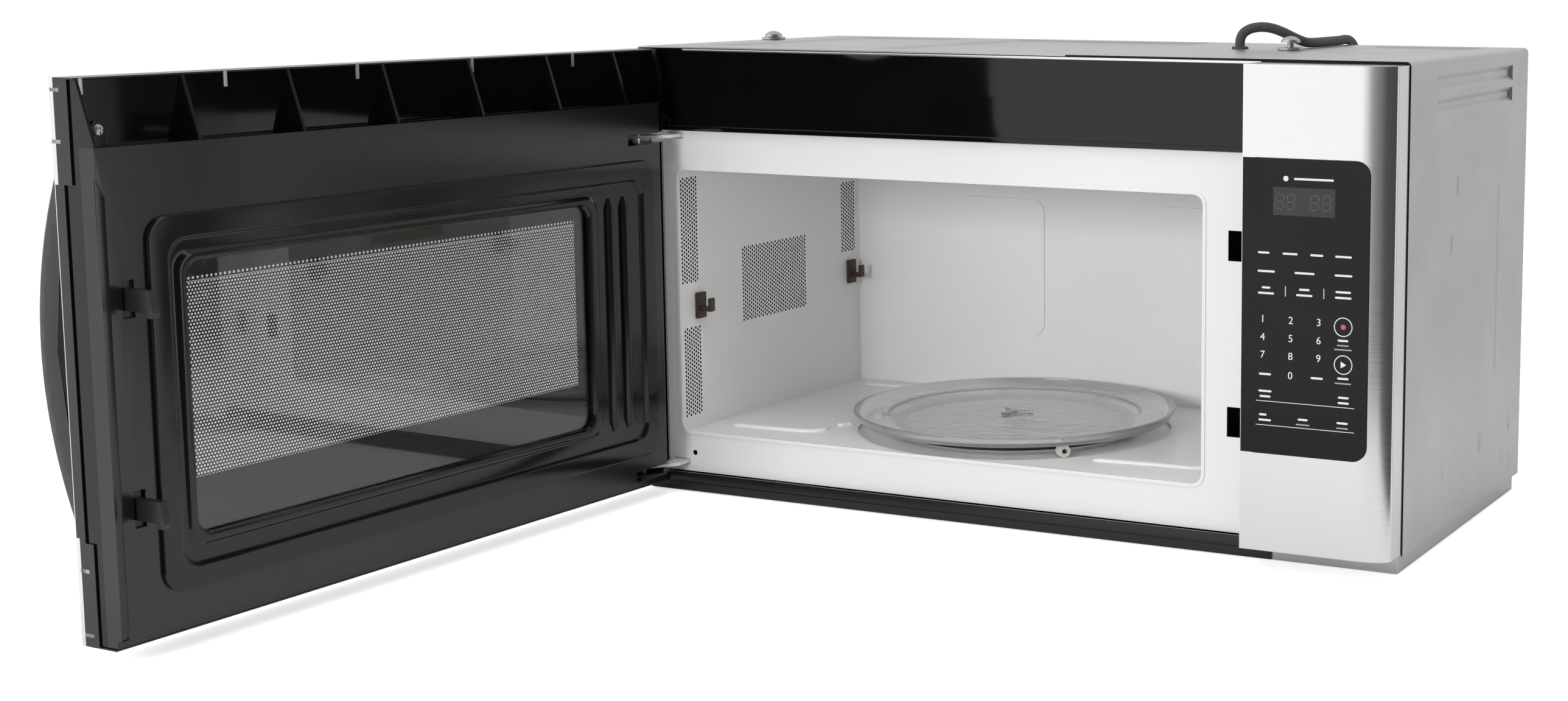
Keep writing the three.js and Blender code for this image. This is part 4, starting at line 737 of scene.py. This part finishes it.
# Back printed glass and polished ABS: deep black under a clear, faintly wavy gloss.
gloss_black = finish_of(
    "gloss_black", "#070708", (90, "#060607", "#09090a"), (150, 0.7, 1), Roughness=0.05, IOR=1.45
)
panel_black = finish_of(
    "panel_black", "#0f0f11", (50, "#0d0d0f", "#121214"), (30, 0.03, 1),
    Roughness=0.16, Specular_IOR_Level=0.25
)
(_, _, bottom), (right, _, top) = ([c / MM for c in corner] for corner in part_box("touch_panel"))
INK_THICK = 0.08
INK_FACE = PANEL_FACE - 0.2
INK_MIDDLE = INK_FACE - INK_THICK / 2
TOUCH_LEFT = 250.4
TOUCH_BACK = -44.6
TOUCH_CORNER = 12
touch_sheet = start_block(
    "touch_sheet", (TOUCH_LEFT, INK_FACE, bottom), (right, TOUCH_BACK, top)
)
bevel_edges(touch_sheet, lambda e: runs_back(e, "x", right), TOUCH_CORNER, 10)
rounded(touch_sheet, 0.18, 50)
smooth(touch_sheet)
settle(touch_sheet, panel_black, "root", "touch_panel", slot="gloss_black")
display_tint = finish_of("display_tint", "#252324", (40, "#242223", "#292728"), Roughness=0.2)
display_pane = refined("display_window", "display_pane", 0.2)
pick(display_pane, lambda v: near(v.co.y, PANEL_FACE, 0.3), "VERT")
bpy.ops.transform.translate(value=(0, -0.25 * MM, 0))
only(display_pane)
settle(display_pane, display_tint, "root", "display_window", slot="smoked_glass")

printed_ink = finish_of("printed_ink", "#d6d6d6", (4, "#cfcfcf", "#dddddd"), Roughness=0.5)
dim_ink = finish_of("dim_ink", "#9b9b9b", (4, "#939393", "#a3a3a3"), Roughness=0.5)
red_ink = finish_of("red_ink", "#b5585c", (2, "#ac5256", "#bd6064"), Roughness=0.5)
dark_segment = finish_of("dark_segment", "#4a4648", (3, "#464244", "#4f4b4d"), Roughness=0.4)


def bar(x, z, width, height, depth=INK_FACE):
    """One printed bar with rounded ends, centred at x and z on the touch panel, in mm."""
    piece = start_block(
        "bar",
        (x - width / 2, depth - INK_THICK, z - height / 2),
        (x + width / 2, depth, z + height / 2),
    )
    bevel_edges(
        piece,
        lambda e: abs(e.verts[0].co.y - e.verts[1].co.y) > INK_THICK * MM / 2,
        min(width, height) * 0.45,
        3,
    )
    only(piece)
    return piece


DIGITS = {
    "1": (269.2, 211.8), "2": (293.6, 211.8), "3": (317.8, 211.8),
    "4": (269.2, 197), "5": (293.6, 197), "6": (317.8, 197),
    "7": (269.2, 182.3), "8": (293.6, 182.3), "9": (317.8, 182.3), "0": (293.6, 166.4),
}
ink = []
for digit, (x, z) in DIGITS.items():
    only(supply_cord)
    bpy.ops.object.text_add(location=Vector((x, INK_MIDDLE, z)) * MM)
    text = bpy.context.active_object
    text.data.body = digit
    text.data.size = 8.6 * MM
    text.data.extrude = INK_THICK / 2 * MM
    text.data.align_x = "CENTER"
    text.data.align_y = "CENTER"
    text.rotation_euler = FACING
    bpy.ops.object.convert(target="MESH")
    bpy.ops.object.transform_apply(location=True, rotation=True, scale=True)
    ink.append(bpy.context.active_object)
# Bars stand for the words of the keys: x, z, width and height.
for x, z, width in (
    (269.4, 266.5, 10), (292.3, 266.5, 13), (315.3, 266.5, 11), (338.1, 266.5, 14),
    (271.8, 251.3, 15), (305, 251.3, 17), (338.3, 251.3, 15),
    (271.8, 237.9, 7.5), (271.8, 233.3, 14), (305, 237.9, 9), (305, 233.3, 14),
    (338.3, 237.9, 13), (338.3, 233.3, 14),
    (271.6, 166.4, 10.5), (316.7, 166.2, 10.5), (338.7, 198.6, 9), (339.1, 167.6, 9.5),
    (271.8, 152.3, 11.5), (271.8, 147.9, 9.5), (339.7, 152, 9), (339.7, 147.6, 9.5),
    (270, 132.6, 6.5), (271.8, 128.2, 11), (305, 131, 8.5), (339, 131, 9.5), (312, 327.5, 34),
):
    ink.append(bar(x, z, width, 1.7))
for x, z, width, height in (
    (306.5, 144, 85.5, 0.5), (306.5, 124, 85.5, 0.5), (288.6, 235.7, 0.6, 8.5),
    (321.8, 235.7, 0.6, 8.5), (288, 327.5, 4.4, 4.4),
):
    ink.append(bar(x, z, width, height))
KEY_RING = 7.9
KEY_RING_LINE = 0.75
for x, z in ((338.7, 209.7), (339.1, 178.9)):
    circle = start_disc(KEY_RING, INK_THICK, (x, INK_MIDDLE, z), FACING, 48)
    pick(circle, lambda f: abs(f.normal.y) > 0.9)
    bpy.ops.mesh.inset(thickness=KEY_RING_LINE * MM, depth=0)
    bpy.ops.mesh.bridge_edge_loops()
    ink.append(circle)
START_MARK = (338.6, INK_MIDDLE, 178.9)
triangle = start_disc(3.2, INK_THICK, START_MARK, FACING, 3)
pick(triangle)
bpy.ops.transform.rotate(
    value=-math.pi / 2, orient_axis="Y", center_override=Vector(START_MARK) * MM
)
only(triangle)
ink.append(triangle)
panel_print = joined(ink, "panel_print")
settle(panel_print, printed_ink, "root", slot="white_plastic")
small_print = joined(
    [bar(338.7, 194.6, 10, 1.1), bar(338.7, 191.2, 15, 1.1), bar(339.1, 163.6, 14, 1.1),
     bar(305, 126.8, 12, 1.1), bar(339, 126.8, 10, 1.1)],
    "small_print",
)
settle(small_print, dim_ink, "root", slot="white_plastic")
stop_square = bar(338.7, 209.7, 4.2, 4.2)
settle(stop_square, red_ink, "root", slot="white_plastic")
segments = []
DIGIT_MIDDLE = 308.7
DIGIT_SLANT = 0.12
SEGMENT_FACE = INK_FACE - 0.06
for left in (278.9, 288.6, 309.2, 319.4):
    upright = [(left + side, z, 0.9, 4.6) for side in (0.5, 7.1) for z in (305.7, 311.7)]
    level = [(left + 3.8, z, 5.2, 0.9) for z in (302.9, DIGIT_MIDDLE, 314.5)]
    for x, z, width, height in upright + level:
        lean = (z - DIGIT_MIDDLE) * DIGIT_SLANT
        segments.append(bar(x + lean, z, width, height, SEGMENT_FACE))
for z in (306.4, 311):
    segments.append(bar(303, z, 0.9, 0.9, SEGMENT_FACE))
display_digits = joined(segments, "display_digits")
settle(display_digits, dark_segment, "root", slot="smoked_glass")

# ---- black fascia over the oven ----
# Injection moulded ABS, polished in the mould, clipped over the vent behind it. A thin bright
# strip closes it against the wrap.
# The long panel is slightly bowed between its clips, which bends what it mirrors.
bowed_black = finish_of(
    "bowed_black", "#080809", (90, "#070708", "#0a0a0b"), (190, 13, 1), Roughness=0.06, IOR=1.45
)
dress("top_fascia", "fascia", 0.5, "root", bowed_black, "gloss_black")
lip = start_block("vent_lip", (-330, -4.4, 417.2), (249, -3.1, 419.6))
rounded(lip, 0.4)
smooth(lip)
settle(lip, brushed_stainless, "root")

# ---- foot trim ----
# Rolled steel strip with two grooves, painted satin black.
trim_grey = finish_of(
    "trim_grey", "#1a191b", (60, "#171618", "#1f1e20"), (1.2, 0.02), Metallic=0.2, Roughness=0.3
)
dress("bottom_trim", "foot_trim", 0.3, "root", trim_grey)

# ---- door shell ----
# Stainless skin folded over a moulded inner frame. Small tabs of the skin are bent over the
# frame's rim, and a screw on a post holds the handle's foot.
HINGE = Vector((-364, -34, 0)) * MM
OPEN_ANGLE = math.radians(-92)
SWING = Matrix.Translation(HINGE) @ Matrix.Rotation(OPEN_ANGLE, 4, "Z") @ Matrix.Translation(-HINGE)


def swing(piece, turn=SWING):
    """Turns a piece from where it is on the shut door to where the door stands open."""
    only(piece)
    piece.matrix_world = turn
    bpy.ops.object.transform_apply(location=True, rotation=True, scale=True)
    return piece


BARE_ENDS = (93, 345)          # between these the free edge is bare only to the second depth
BARE_TO = (-42, -45.2)
door_shell = swing(refined("door_skin", "door_shell", 0.4), SWING.inverted())
slice_piece(door_shell, [("y", y) for y in BARE_TO] + [("z", z) for z in BARE_ENDS])
smooth(door_shell)
coat(door_shell, brushed_stainless, satin_black)
# Its returns are painted black; bare steel shows in full only at the ends of the free edge.
for face in door_shell.data.polygons:
    bare_to = BARE_TO[between(face.center.z, BARE_ENDS)]
    if face.center.y > (bare_to + 0.1) * MM:
        face.material_index = 1
swing(door_shell)
fit(door_shell, "door", "brushed_stainless", "door_skin")
TROUGH_FOOT = 371.2
RIM_FRONT = -21
NOTCH = (241, 338)             # x and z where the free edge's sunk strip begins to lean
NOTCH_LEAN = 0.54
NOTCH_SLOPE = 0.6
NOTCH_DEPTH = 1.3


def in_notch(face):
    """True for the rear face of the inner frame beyond the leaning line."""
    x, y, z = face.calc_center_median() / MM
    beyond = x - NOTCH[0]
    return face.normal.y > 0.9 and y > -7 and beyond > max(0, (z - NOTCH[1]) * NOTCH_LEAN)


door_inner = swing(refined("door_frame", "door_inner", 0.5), SWING.inverted())
slice_piece(door_inner, [("y", RIM_FRONT), ("z", TROUGH_FOOT), ("x", NOTCH[0])])
pick(door_inner)
bpy.ops.mesh.bisect(
    plane_co=Vector((NOTCH[0], 0, NOTCH[1])) * MM, plane_no=(1, 0, -NOTCH_LEAN)
)
press(door_inner, in_notch, NOTCH_SLOPE, (0, -NOTCH_DEPTH, 0))
smooth(door_inner)
coat(door_inner, satin_black, gloss_black)
for face in door_inner.data.polygons:
    x, y, z = face.center / MM
    on_edge = face.normal.x > 0.5 and x > 247 and y < RIM_FRONT - 0.1
    if z > TROUGH_FOOT + 0.1 or on_edge:
        face.material_index = 1
swing(door_inner)
fit(door_inner, "door", "satin_black", "door_frame")

zinc_tab = finish_of(
    "zinc_tab", "#b9bfc0", (5, "#a9b0b2", "#c8cdce"), (2, 0.03), Metallic=0.9, Roughness=0.3
)
tabs = []
for x in (243, 118, -12, -140, -266):
    tabs.append(start_block("tab", (x - 1.8, -22.1, 407.6), (x + 1.8, -21.2, 419.2)))
for z, y in ((411, -41), (375, -42), (69.5, -38.5), (22.5, -37.5)):
    tabs.append(start_block("tab", (246.5, y - 5, z - 1.7), (249, y + 5, z + 1.7)))
for tab in tabs:
    rounded(tab, 0.4)
skin_tabs = swing(joined(tabs, "skin_tabs"))
smooth(skin_tabs)
settle(skin_tabs, zinc_tab, "door", slot="galvanised_sheet")

POST_TOP = 390
POST_ROUND = 6.1
post = start_block("screw_post", (230.5, -22.5, 371), (243, -14, POST_TOP))
bevel_edges(post, lambda e: runs_back(e, "z", POST_TOP), POST_ROUND, 6)
rounded(post, 0.5, 50)
swing(post)
smooth(post)
settle(post, gloss_black, "door", slot="satin_black")


def cross_screw(name, at, radius):
    """A pan head screw with a cross recess, which faces the rear of the shut door, in mm."""
    head = added(
        bpy.ops.mesh.primitive_uv_sphere_add, segments=32, ring_count=16, radius=radius * MM,
        location=Vector(at) * MM, scale=(1, 0.62, 1),
    )
    pick(head)
    bpy.ops.mesh.bisect(
        plane_co=Vector(at) * MM, plane_no=(0, 1, 0), clear_inner=True, use_fill=True
    )
    for wide, tall in ((0.28, 1.2), (1.2, 0.28)):
        slot = start_block(
            "slot",
            (at[0] - wide * radius / 2, at[1] + 0.35 * radius, at[2] - tall * radius / 2),
            (at[0] + wide * radius / 2, at[1] + radius, at[2] + tall * radius / 2),
        )
        cut_away(head, slot)
    head.name = name
    smooth(head, 30)
    coat(head, zinc_tab)
    return head


post_screw = swing(cross_screw("post_screw", (236.7, -14.2, 383), 4.4))
fit(post_screw, "door", "galvanised_sheet")

# ---- window surround ----
# Choke cover moulded in one piece: a flat rim with rounded corners, a step down, a ledge with two
# ribs on the hinge side, and a raised lip round the window.
RIM = (-352, 210, 46, 320)     # left, right, bottom, top of the shut door's surround
STEP = (-335, 193, 62, 303)
LIP = (-272, 184, 77.5, 291)
VIEW = (-262, 176.5, 84.5, 285)


def grown(box, amount):
    """A rectangle made larger on each side, in mm."""
    return (box[0] - amount, box[1] + amount, box[2] - amount, box[3] + amount)


SURROUND_STEPS = [  # rectangle, how much larger, and depth, from the rim's foot inwards
    (RIM, 0, -5.7), (RIM, 0, -3.7), (RIM, -0.5, -2.9), (RIM, -1.4, -2.5), (STEP, 1.2, -2.5),
    (STEP, 0.3, -2.9), (STEP, -1.4, -5.6), (STEP, -2.6, -6.1), (LIP, 3, -6.1), (LIP, 1.6, -5.7),
    (LIP, 0, -4.2), (LIP, -1.2, -3.8), (VIEW, 2.6, -3.8), (VIEW, 1.2, -4.3), (VIEW, 0, -6.2),
    (VIEW, 0, -9.1), (VIEW, 12, -9.1), (STEP, 4, -8.9), (RIM, -5, -8.9), (RIM, -5, -5.7),
]
SURROUND_LOOPS = [(grown(box, more), depth) for box, more, depth in SURROUND_STEPS]
FACING_REAR = (-math.pi / 2, 0, 0)
CORNER = 17
surround = added(bpy.ops.mesh.primitive_plane_add, size=1, rotation=FACING_REAR)


def to_rectangle(before, after):
    """Moves the selection from one rectangle and depth to the next one, in mm."""
    (l0, r0, b0, t0), y0 = before
    (l1, r1, b1, t1), y1 = after
    centre = Vector(((l0 + r0) / 2, y0, (b0 + t0) / 2)) * MM
    bpy.ops.transform.resize(
        value=((r1 - l1) / (r0 - l0), 1, (t1 - b1) / (t0 - b0)), center_override=centre
    )
    shift = ((l1 + r1 - l0 - r0) / 2, y1 - y0, (b1 + t1 - b0 - t0) / 2)
    bpy.ops.transform.translate(value=Vector(shift) * MM)


pick(surround, kind="VERT")
unit = ((-0.5 / MM, 0.5 / MM, -0.5 / MM, 0.5 / MM), 0)
to_rectangle(unit, SURROUND_LOOPS[0])
bpy.ops.mesh.bevel(offset=CORNER * MM, segments=8, affect="VERTICES")
bpy.ops.mesh.select_all(action="SELECT")
bpy.ops.mesh.delete(type="ONLY_FACE")
bpy.context.tool_settings.mesh_select_mode = [False, True, False]
bpy.ops.mesh.select_all(action="SELECT")
for before, after in zip(SURROUND_LOOPS, SURROUND_LOOPS[1:]):
    bpy.ops.mesh.extrude_edges_move()
    to_rectangle(before, after)
bpy.ops.mesh.extrude_edges_move()
to_rectangle(SURROUND_LOOPS[-1], SURROUND_LOOPS[0])
merge()
only(surround)
smooth(surround, 30)
ribs = [surround]
for x in (-310, -290):
    ribs.append(pressed_bead("rib", [(x, -6.1, z) for z in (76, 120, 240, 289)], 4.6, 4.6))
window_surround = swing(joined(ribs, "window_surround"))
# Polished in the mould, so it mirrors the oven more clearly than the textured frame round it.
polished_black = finish_of(
    "polished_black", "#0c0c0e", (70, "#0a0a0c", "#100f11"), (60, 0.08, 1), Roughness=0.13
)
settle(window_surround, polished_black, "door", "choke_cover", slot="satin_black")

# ---- window ----
# Punched steel screen between an inner sheet and the outer glass. Its holes stand in a honeycomb
# 2.9 mm apart, with one wider row over them.
HOLES = (-249, 173, 125, 268)
HOLE_STEP = 2.9
HOLE_SIZE = 0.98
ROW_PAIRS = 29
TOP_HOLES = (1.25, 2.95, 102, 4.14)   # hole, cell, count and step of the wider row
SCREEN_FACE = -11.12
screen_black = finish_of(
    "screen_black", "#101012", (60, "#0e0e10", "#141416"), (1.4, 0.02),
    Roughness=0.4, Specular_IOR_Level=0.4
)
screen_frame = refined("screen_panel", "screen_frame", 0)
gap = start_block("gap", (HOLES[0], -20, HOLES[2]), (HOLES[1] - 1, -9.5, HOLES[3] + 5.8))
cut_away(screen_frame, swing(gap))
smooth(screen_frame)
settle(screen_frame, screen_black, "door", "screen_panel", slot="chassis_steel")


def holed_cell(x, z, hole, cell, corners, turn=0):
    """One flat cell of a punched sheet: a ring of faces round its hole, in mm."""
    middle = Vector((x, SCREEN_FACE, z)) * MM
    piece = added(
        bpy.ops.mesh.primitive_circle_add, vertices=corners, radius=hole * MM,
        location=middle, rotation=(-math.pi / 2, turn, 0),
    )
    pick(piece, kind="EDGE")
    bpy.ops.mesh.extrude_edges_move()
    bpy.ops.transform.resize(value=(cell / hole, 1, cell / hole), center_override=middle)
    only(piece)
    return piece


row_step = HOLE_STEP * math.sqrt(3) / 2
cell_radius = HOLE_STEP / math.sqrt(3)
columns = int((HOLES[1] - HOLES[0]) / HOLE_STEP) + 1
pair = [
    holed_cell(HOLES[0] + x, HOLES[2] + z, HOLE_SIZE, cell_radius, 6)
    for x, z in ((0, 0), (HOLE_STEP / 2, row_step))
]
cells = joined(pair, "screen_mesh")
repeated(cells, columns, (HOLE_STEP, 0, 0))
repeated(cells, ROW_PAIRS, (0, 0, 2 * row_step))
hole, cell, count, step = TOP_HOLES
top_row = holed_cell(HOLES[0] + 1, HOLES[3] + 3.9, hole, cell, 4, math.pi / 4)
repeated(top_row, count, (step, 0, 0))
screen_mesh = joined([cells, top_row], "screen_mesh")
pick(screen_mesh)
merge(0.05)
swing(screen_mesh)
settle(screen_mesh, screen_black, "door", slot="chassis_steel")

# Thin clear sheet inside and faintly grey tempered glass outside.
window_clear = finish_of(
    "window_clear", "#ffffff", grit=(90, 0.03, 1), Roughness=0.0, IOR=1.45, Transmission_Weight=1.0
)
dress("inner_window", "inner_pane", 0, "door", window_clear, "clear_glass")
smoked_glass = finish_of(
    "smoked_glass", "#e2e3e5", grit=(90, 0.03, 1), Roughness=0.0, IOR=1.5, Transmission_Weight=1.0
)
dress("outer_glass", "outer_pane", 0, "door", smoked_glass)

# ---- handle and latch ----
# Bowed grip moulded in satin black, screwed through the skin at both ends, and a sprung latch
# bar whose two hooks reach into the cabinet's switches.
grip = refined("door_handle", "grip", 0)
modify(grip, "SUBSURF", levels=1, render_levels=1)
smooth(grip, 60)
settle(grip, satin_black, "door", "door_handle")
latch_nylon = finish_of(
    "latch_nylon", "#19181a", (12, "#161517", "#1e1d1f"), (0.9, 0.02), Roughness=0.35
)
dress("door_latch", "hook_bar", 0.8, "latch", latch_nylon, "white_plastic", 3)

# ---- hinge plates ----
# Punched steel arms, enamelled with the front frame that carries them.
for end in ("lower", "upper"):
    dress(f"hinge_plate_{end}", f"hinge_arm_{end}", 0.4, "root", white_enamel)

# ---- screws on the top ----
# Zinc plated machine screws that hang the cabinet from the one above, with washers.
for side in ("left", "right"):
    dress(f"top_screw_{side}", f"hanging_screw_{side}", 0.3, "root", zinc_tab, "galvanised_sheet")

# ---- back, base and what is inside ----
# Plain folded sheets, and the working parts behind them.
chassis_steel = finish_of(
    "chassis_steel", "#8a8b8d", (110, "#818284", "#969799"), (30, 0.06),
    Metallic=0.75, Roughness=0.45
)
winding_iron = finish_of(
    "winding_iron", "#55575a", (8, "#4a4c4f", "#606265"), (1.2, 0.08), Metallic=0.6, Roughness=0.55
)
aluminium_parts = finish_of(
    "aluminium_parts", "#b4b6b8", (25, "#a9abad", "#bfc1c3"), (2.2, 0.25),
    Metallic=0.9, Roughness=0.42
)
mica_sheet = finish_of(
    "mica_sheet", "#b8ad98", (4, "#a69b86", "#c9bfab"), (2.5, 0.05), Roughness=0.5
)
circuit_board = finish_of(
    "circuit_board", "#24523a", (3, "#1d4731", "#2f6247"), (1.0, 0.05), Roughness=0.5
)
carbon_pad = finish_of(
    "carbon_pad", "#1e1f20", (3, "#151617", "#2b2c2d"), (2.4, 0.5), Roughness=0.9
)
lens_glass = finish_of(
    "lens_glass", "#e9ebe8", (12, "#e2e4e1", "#eff1ee"), (2.0, 0.15), Roughness=0.35, IOR=1.5
)

INSIDE_PIECES = [
    ("back_panel", "rear_sheet", 0.3, "root", galvanised_sheet, "chassis_steel"),
    ("base_pan", "base_sheet", 0.3, "root", galvanised_sheet),
    ("chassis_plate", "floor_sheet", 0.3, "root", chassis_steel),
    ("waveguide_cover", "mica_cover", 0.2, "root", mica_sheet, "mica"),
    ("turntable_motor", "tray_motor", 0.8, "root", winding_iron),
    ("control_board", "board", 0.4, "root", circuit_board),
    ("interlock_bracket", "switch_bracket", 0.4, "root", latch_nylon, "white_plastic"),
    ("interlock_plunger_lower", "switch_pin_lower", 0.4, "plunger_lower", hook_brown),
    ("interlock_plunger_upper", "switch_pin_upper", 0.4, "plunger_upper", hook_brown),
    ("high_voltage_transformer", "transformer", 1.0, "root", winding_iron),
    ("high_voltage_capacitor", "capacitor", 0.8, "root", aluminium_parts),
    ("waveguide", "wave_channel", 0.4, "root", galvanised_sheet),
    ("magnetron", "magnetron_body", 0.4, "root", aluminium_parts),
    ("cooling_fan_housing", "fan_housing", 0.6, "root", satin_black),
    ("cooling_fan_wheel", "fan_wheel", 0.3, "cooling_fan", white_plastic),
    ("cavity_lamp", "lamp_holder", 0.6, "root", white_plastic),
    ("blower_housing_left", "scroll_left", 0.4, "root", galvanised_sheet),
    ("blower_housing_right", "scroll_right", 0.4, "root", galvanised_sheet),
    ("blower_wheel_left", "drum_left", 0.2, "blower_rotor", white_plastic),
    ("blower_wheel_right", "drum_right", 0.2, "blower_rotor", white_plastic),
    ("blower_shaft", "drum_shaft", 0.4, "blower_rotor", chassis_steel),
    ("blower_motor", "drum_motor", 0.8, "root", winding_iron),
    ("charcoal_filter", "charcoal_pad", 1.0, "root", carbon_pad),
    ("cooktop_lamp_lens_left", "lamp_lens_left", 0.5, "root", lens_glass, "clear_glass"),
    ("cooktop_lamp_lens_right", "lamp_lens_right", 0.5, "root", lens_glass, "clear_glass"),
]
for row in INSIDE_PIECES:
    dress(*row)

# ---- grease filters ----
# A flat cassette of aluminium mesh in a folded frame, on each side under the base. It slides
# back to come out.
for side in ("left", "right"):
    node, name = f"grease_filter_{side}", f"filter_mesh_{side}"
    dress(node, name, 0.8, f"filter_{side}", aluminium_parts)

# ---- floor and light ----
# A white paper floor under and behind the oven, in a pale room that is darker to the right of the
# camera, so that glossy and metal faces have something to mirror.
FLOOR = (-2.6, 0.62, -0.75, 3.2)  # metres: left, right, front and rear
paper, tree, surface, place = new_finish("paper", "#ebebeb", Roughness=1.0, Specular_IOR_Level=0.0)
surface.inputs["Emission Color"].default_value = (1, 1, 1, 1)
# The picture is exposed for the oven, so that white paper burns out to pure white in it.
seen = add_node(tree, "ShaderNodeLightPath").outputs["Is Camera Ray"]
burnt = add_node(tree, "ShaderNodeMath", {1: 0.62}, {0: seen}, operation="MULTIPLY")
tree.links.new(burnt.outputs[0], surface.inputs["Emission Strength"])
only(supply_cord)
bpy.ops.mesh.primitive_plane_add(
    size=1, location=((FLOOR[0] + FLOOR[1]) / 2, (FLOOR[2] + FLOOR[3]) / 2, -0.0008)
)
floor_paper = bpy.context.active_object
floor_paper.name = "floor_paper"
floor_paper.scale = (FLOOR[1] - FLOOR[0], FLOOR[3] - FLOOR[2], 1)
bpy.ops.object.transform_apply(location=True, rotation=True, scale=True)
coat(floor_paper, paper)

world = bpy.data.worlds.new("studio_room")
scene.world = world
world.use_nodes = True
room = world.node_tree
backdrop = room.nodes["Background"]
backdrop.inputs["Color"].default_value = (1, 1, 1, 1)
backdrop.inputs["Strength"].default_value = 0.62
way = add_node(room, "ShaderNodeTexCoord").outputs["Generated"]
parts = add_node(room, "ShaderNodeSeparateXYZ", links={"Vector": way})
ahead = add_node(room, "ShaderNodeMath", {1: -1.0}, {0: parts.outputs["Y"]}, operation="MULTIPLY")
bearing = add_node(
    room, "ShaderNodeMath", links={0: parts.outputs["X"], 1: ahead.outputs[0]}, operation="ARCTAN2"
)
dial = add_node(
    room,
    "ShaderNodeMapRange",
    {"From Min": -math.pi, "From Max": math.pi},
    {"Value": bearing.outputs[0]},
)
# Brightness of the room by bearing: degrees from straight ahead of the oven, to its right.
ROOM_TONES = [
    (-180, 0.7), (-130, 0.7), (-90, 0.95), (-60, 1.1), (-17, 1.2), (0, 0.28), (30, 0.07),
    (98, 0.05), (110, 0.12), (117, 1.7), (122, 1.5), (128, 0.25), (156, 0.65), (180, 0.7),
]
TONE_TOP = 2.0
tones = add_node(room, "ShaderNodeValToRGB", links={"Fac": dial.outputs["Result"]})
ramp = tones.color_ramp.elements
for degrees, _ in ROOM_TONES[1:-1]:
    ramp.new((degrees + 180) / 360)
for stop, (_, tone) in zip(ramp, ROOM_TONES):
    stop.color = (tone / TONE_TOP, tone / TONE_TOP, tone / TONE_TOP, 1)
walls = add_node(
    room, "ShaderNodeBackground", {"Strength": TONE_TOP}, {"Color": tones.outputs["Color"]}
)
ray = add_node(room, "ShaderNodeLightPath")
white = add_node(room, "ShaderNodeBackground", {"Color": (1, 1, 1, 1), "Strength": 1.05})
light = backdrop.outputs["Background"]
for kind, source in (("Camera", white), ("Transmission", white), ("Glossy", walls)):
    links = {0: ray.outputs[f"Is {kind} Ray"], 1: light, 2: source.outputs["Background"]}
    light = add_node(room, "ShaderNodeMixShader", links=links).outputs["Shader"]
room.links.new(light, room.nodes["World Output"].inputs["Surface"])


def softbox(name, at, towards, width, height, watts):
    """A rectangular lamp that points at a place, all in metres, and isn't mirrored in gloss."""
    lamp = bpy.data.lights.new(name, "AREA")
    lamp.shape = "RECTANGLE"
    lamp.size = width
    lamp.size_y = height
    lamp.energy = watts
    holder = bpy.data.objects.new(name, lamp)
    holder.location = at
    holder.rotation_euler = (Vector(towards) - Vector(at)).to_track_quat("-Z", "Y").to_euler()
    holder.visible_glossy = False
    scene.collection.objects.link(holder)


softbox("overhead", (0.3, -0.6, 2.4), (0, 0, 0.2), 2.4, 1.8, 28)
softbox("front_left", (-0.33, -2.7, 0.7), (0.05, 0.3, 0.14), 0.9, 0.6, 40)
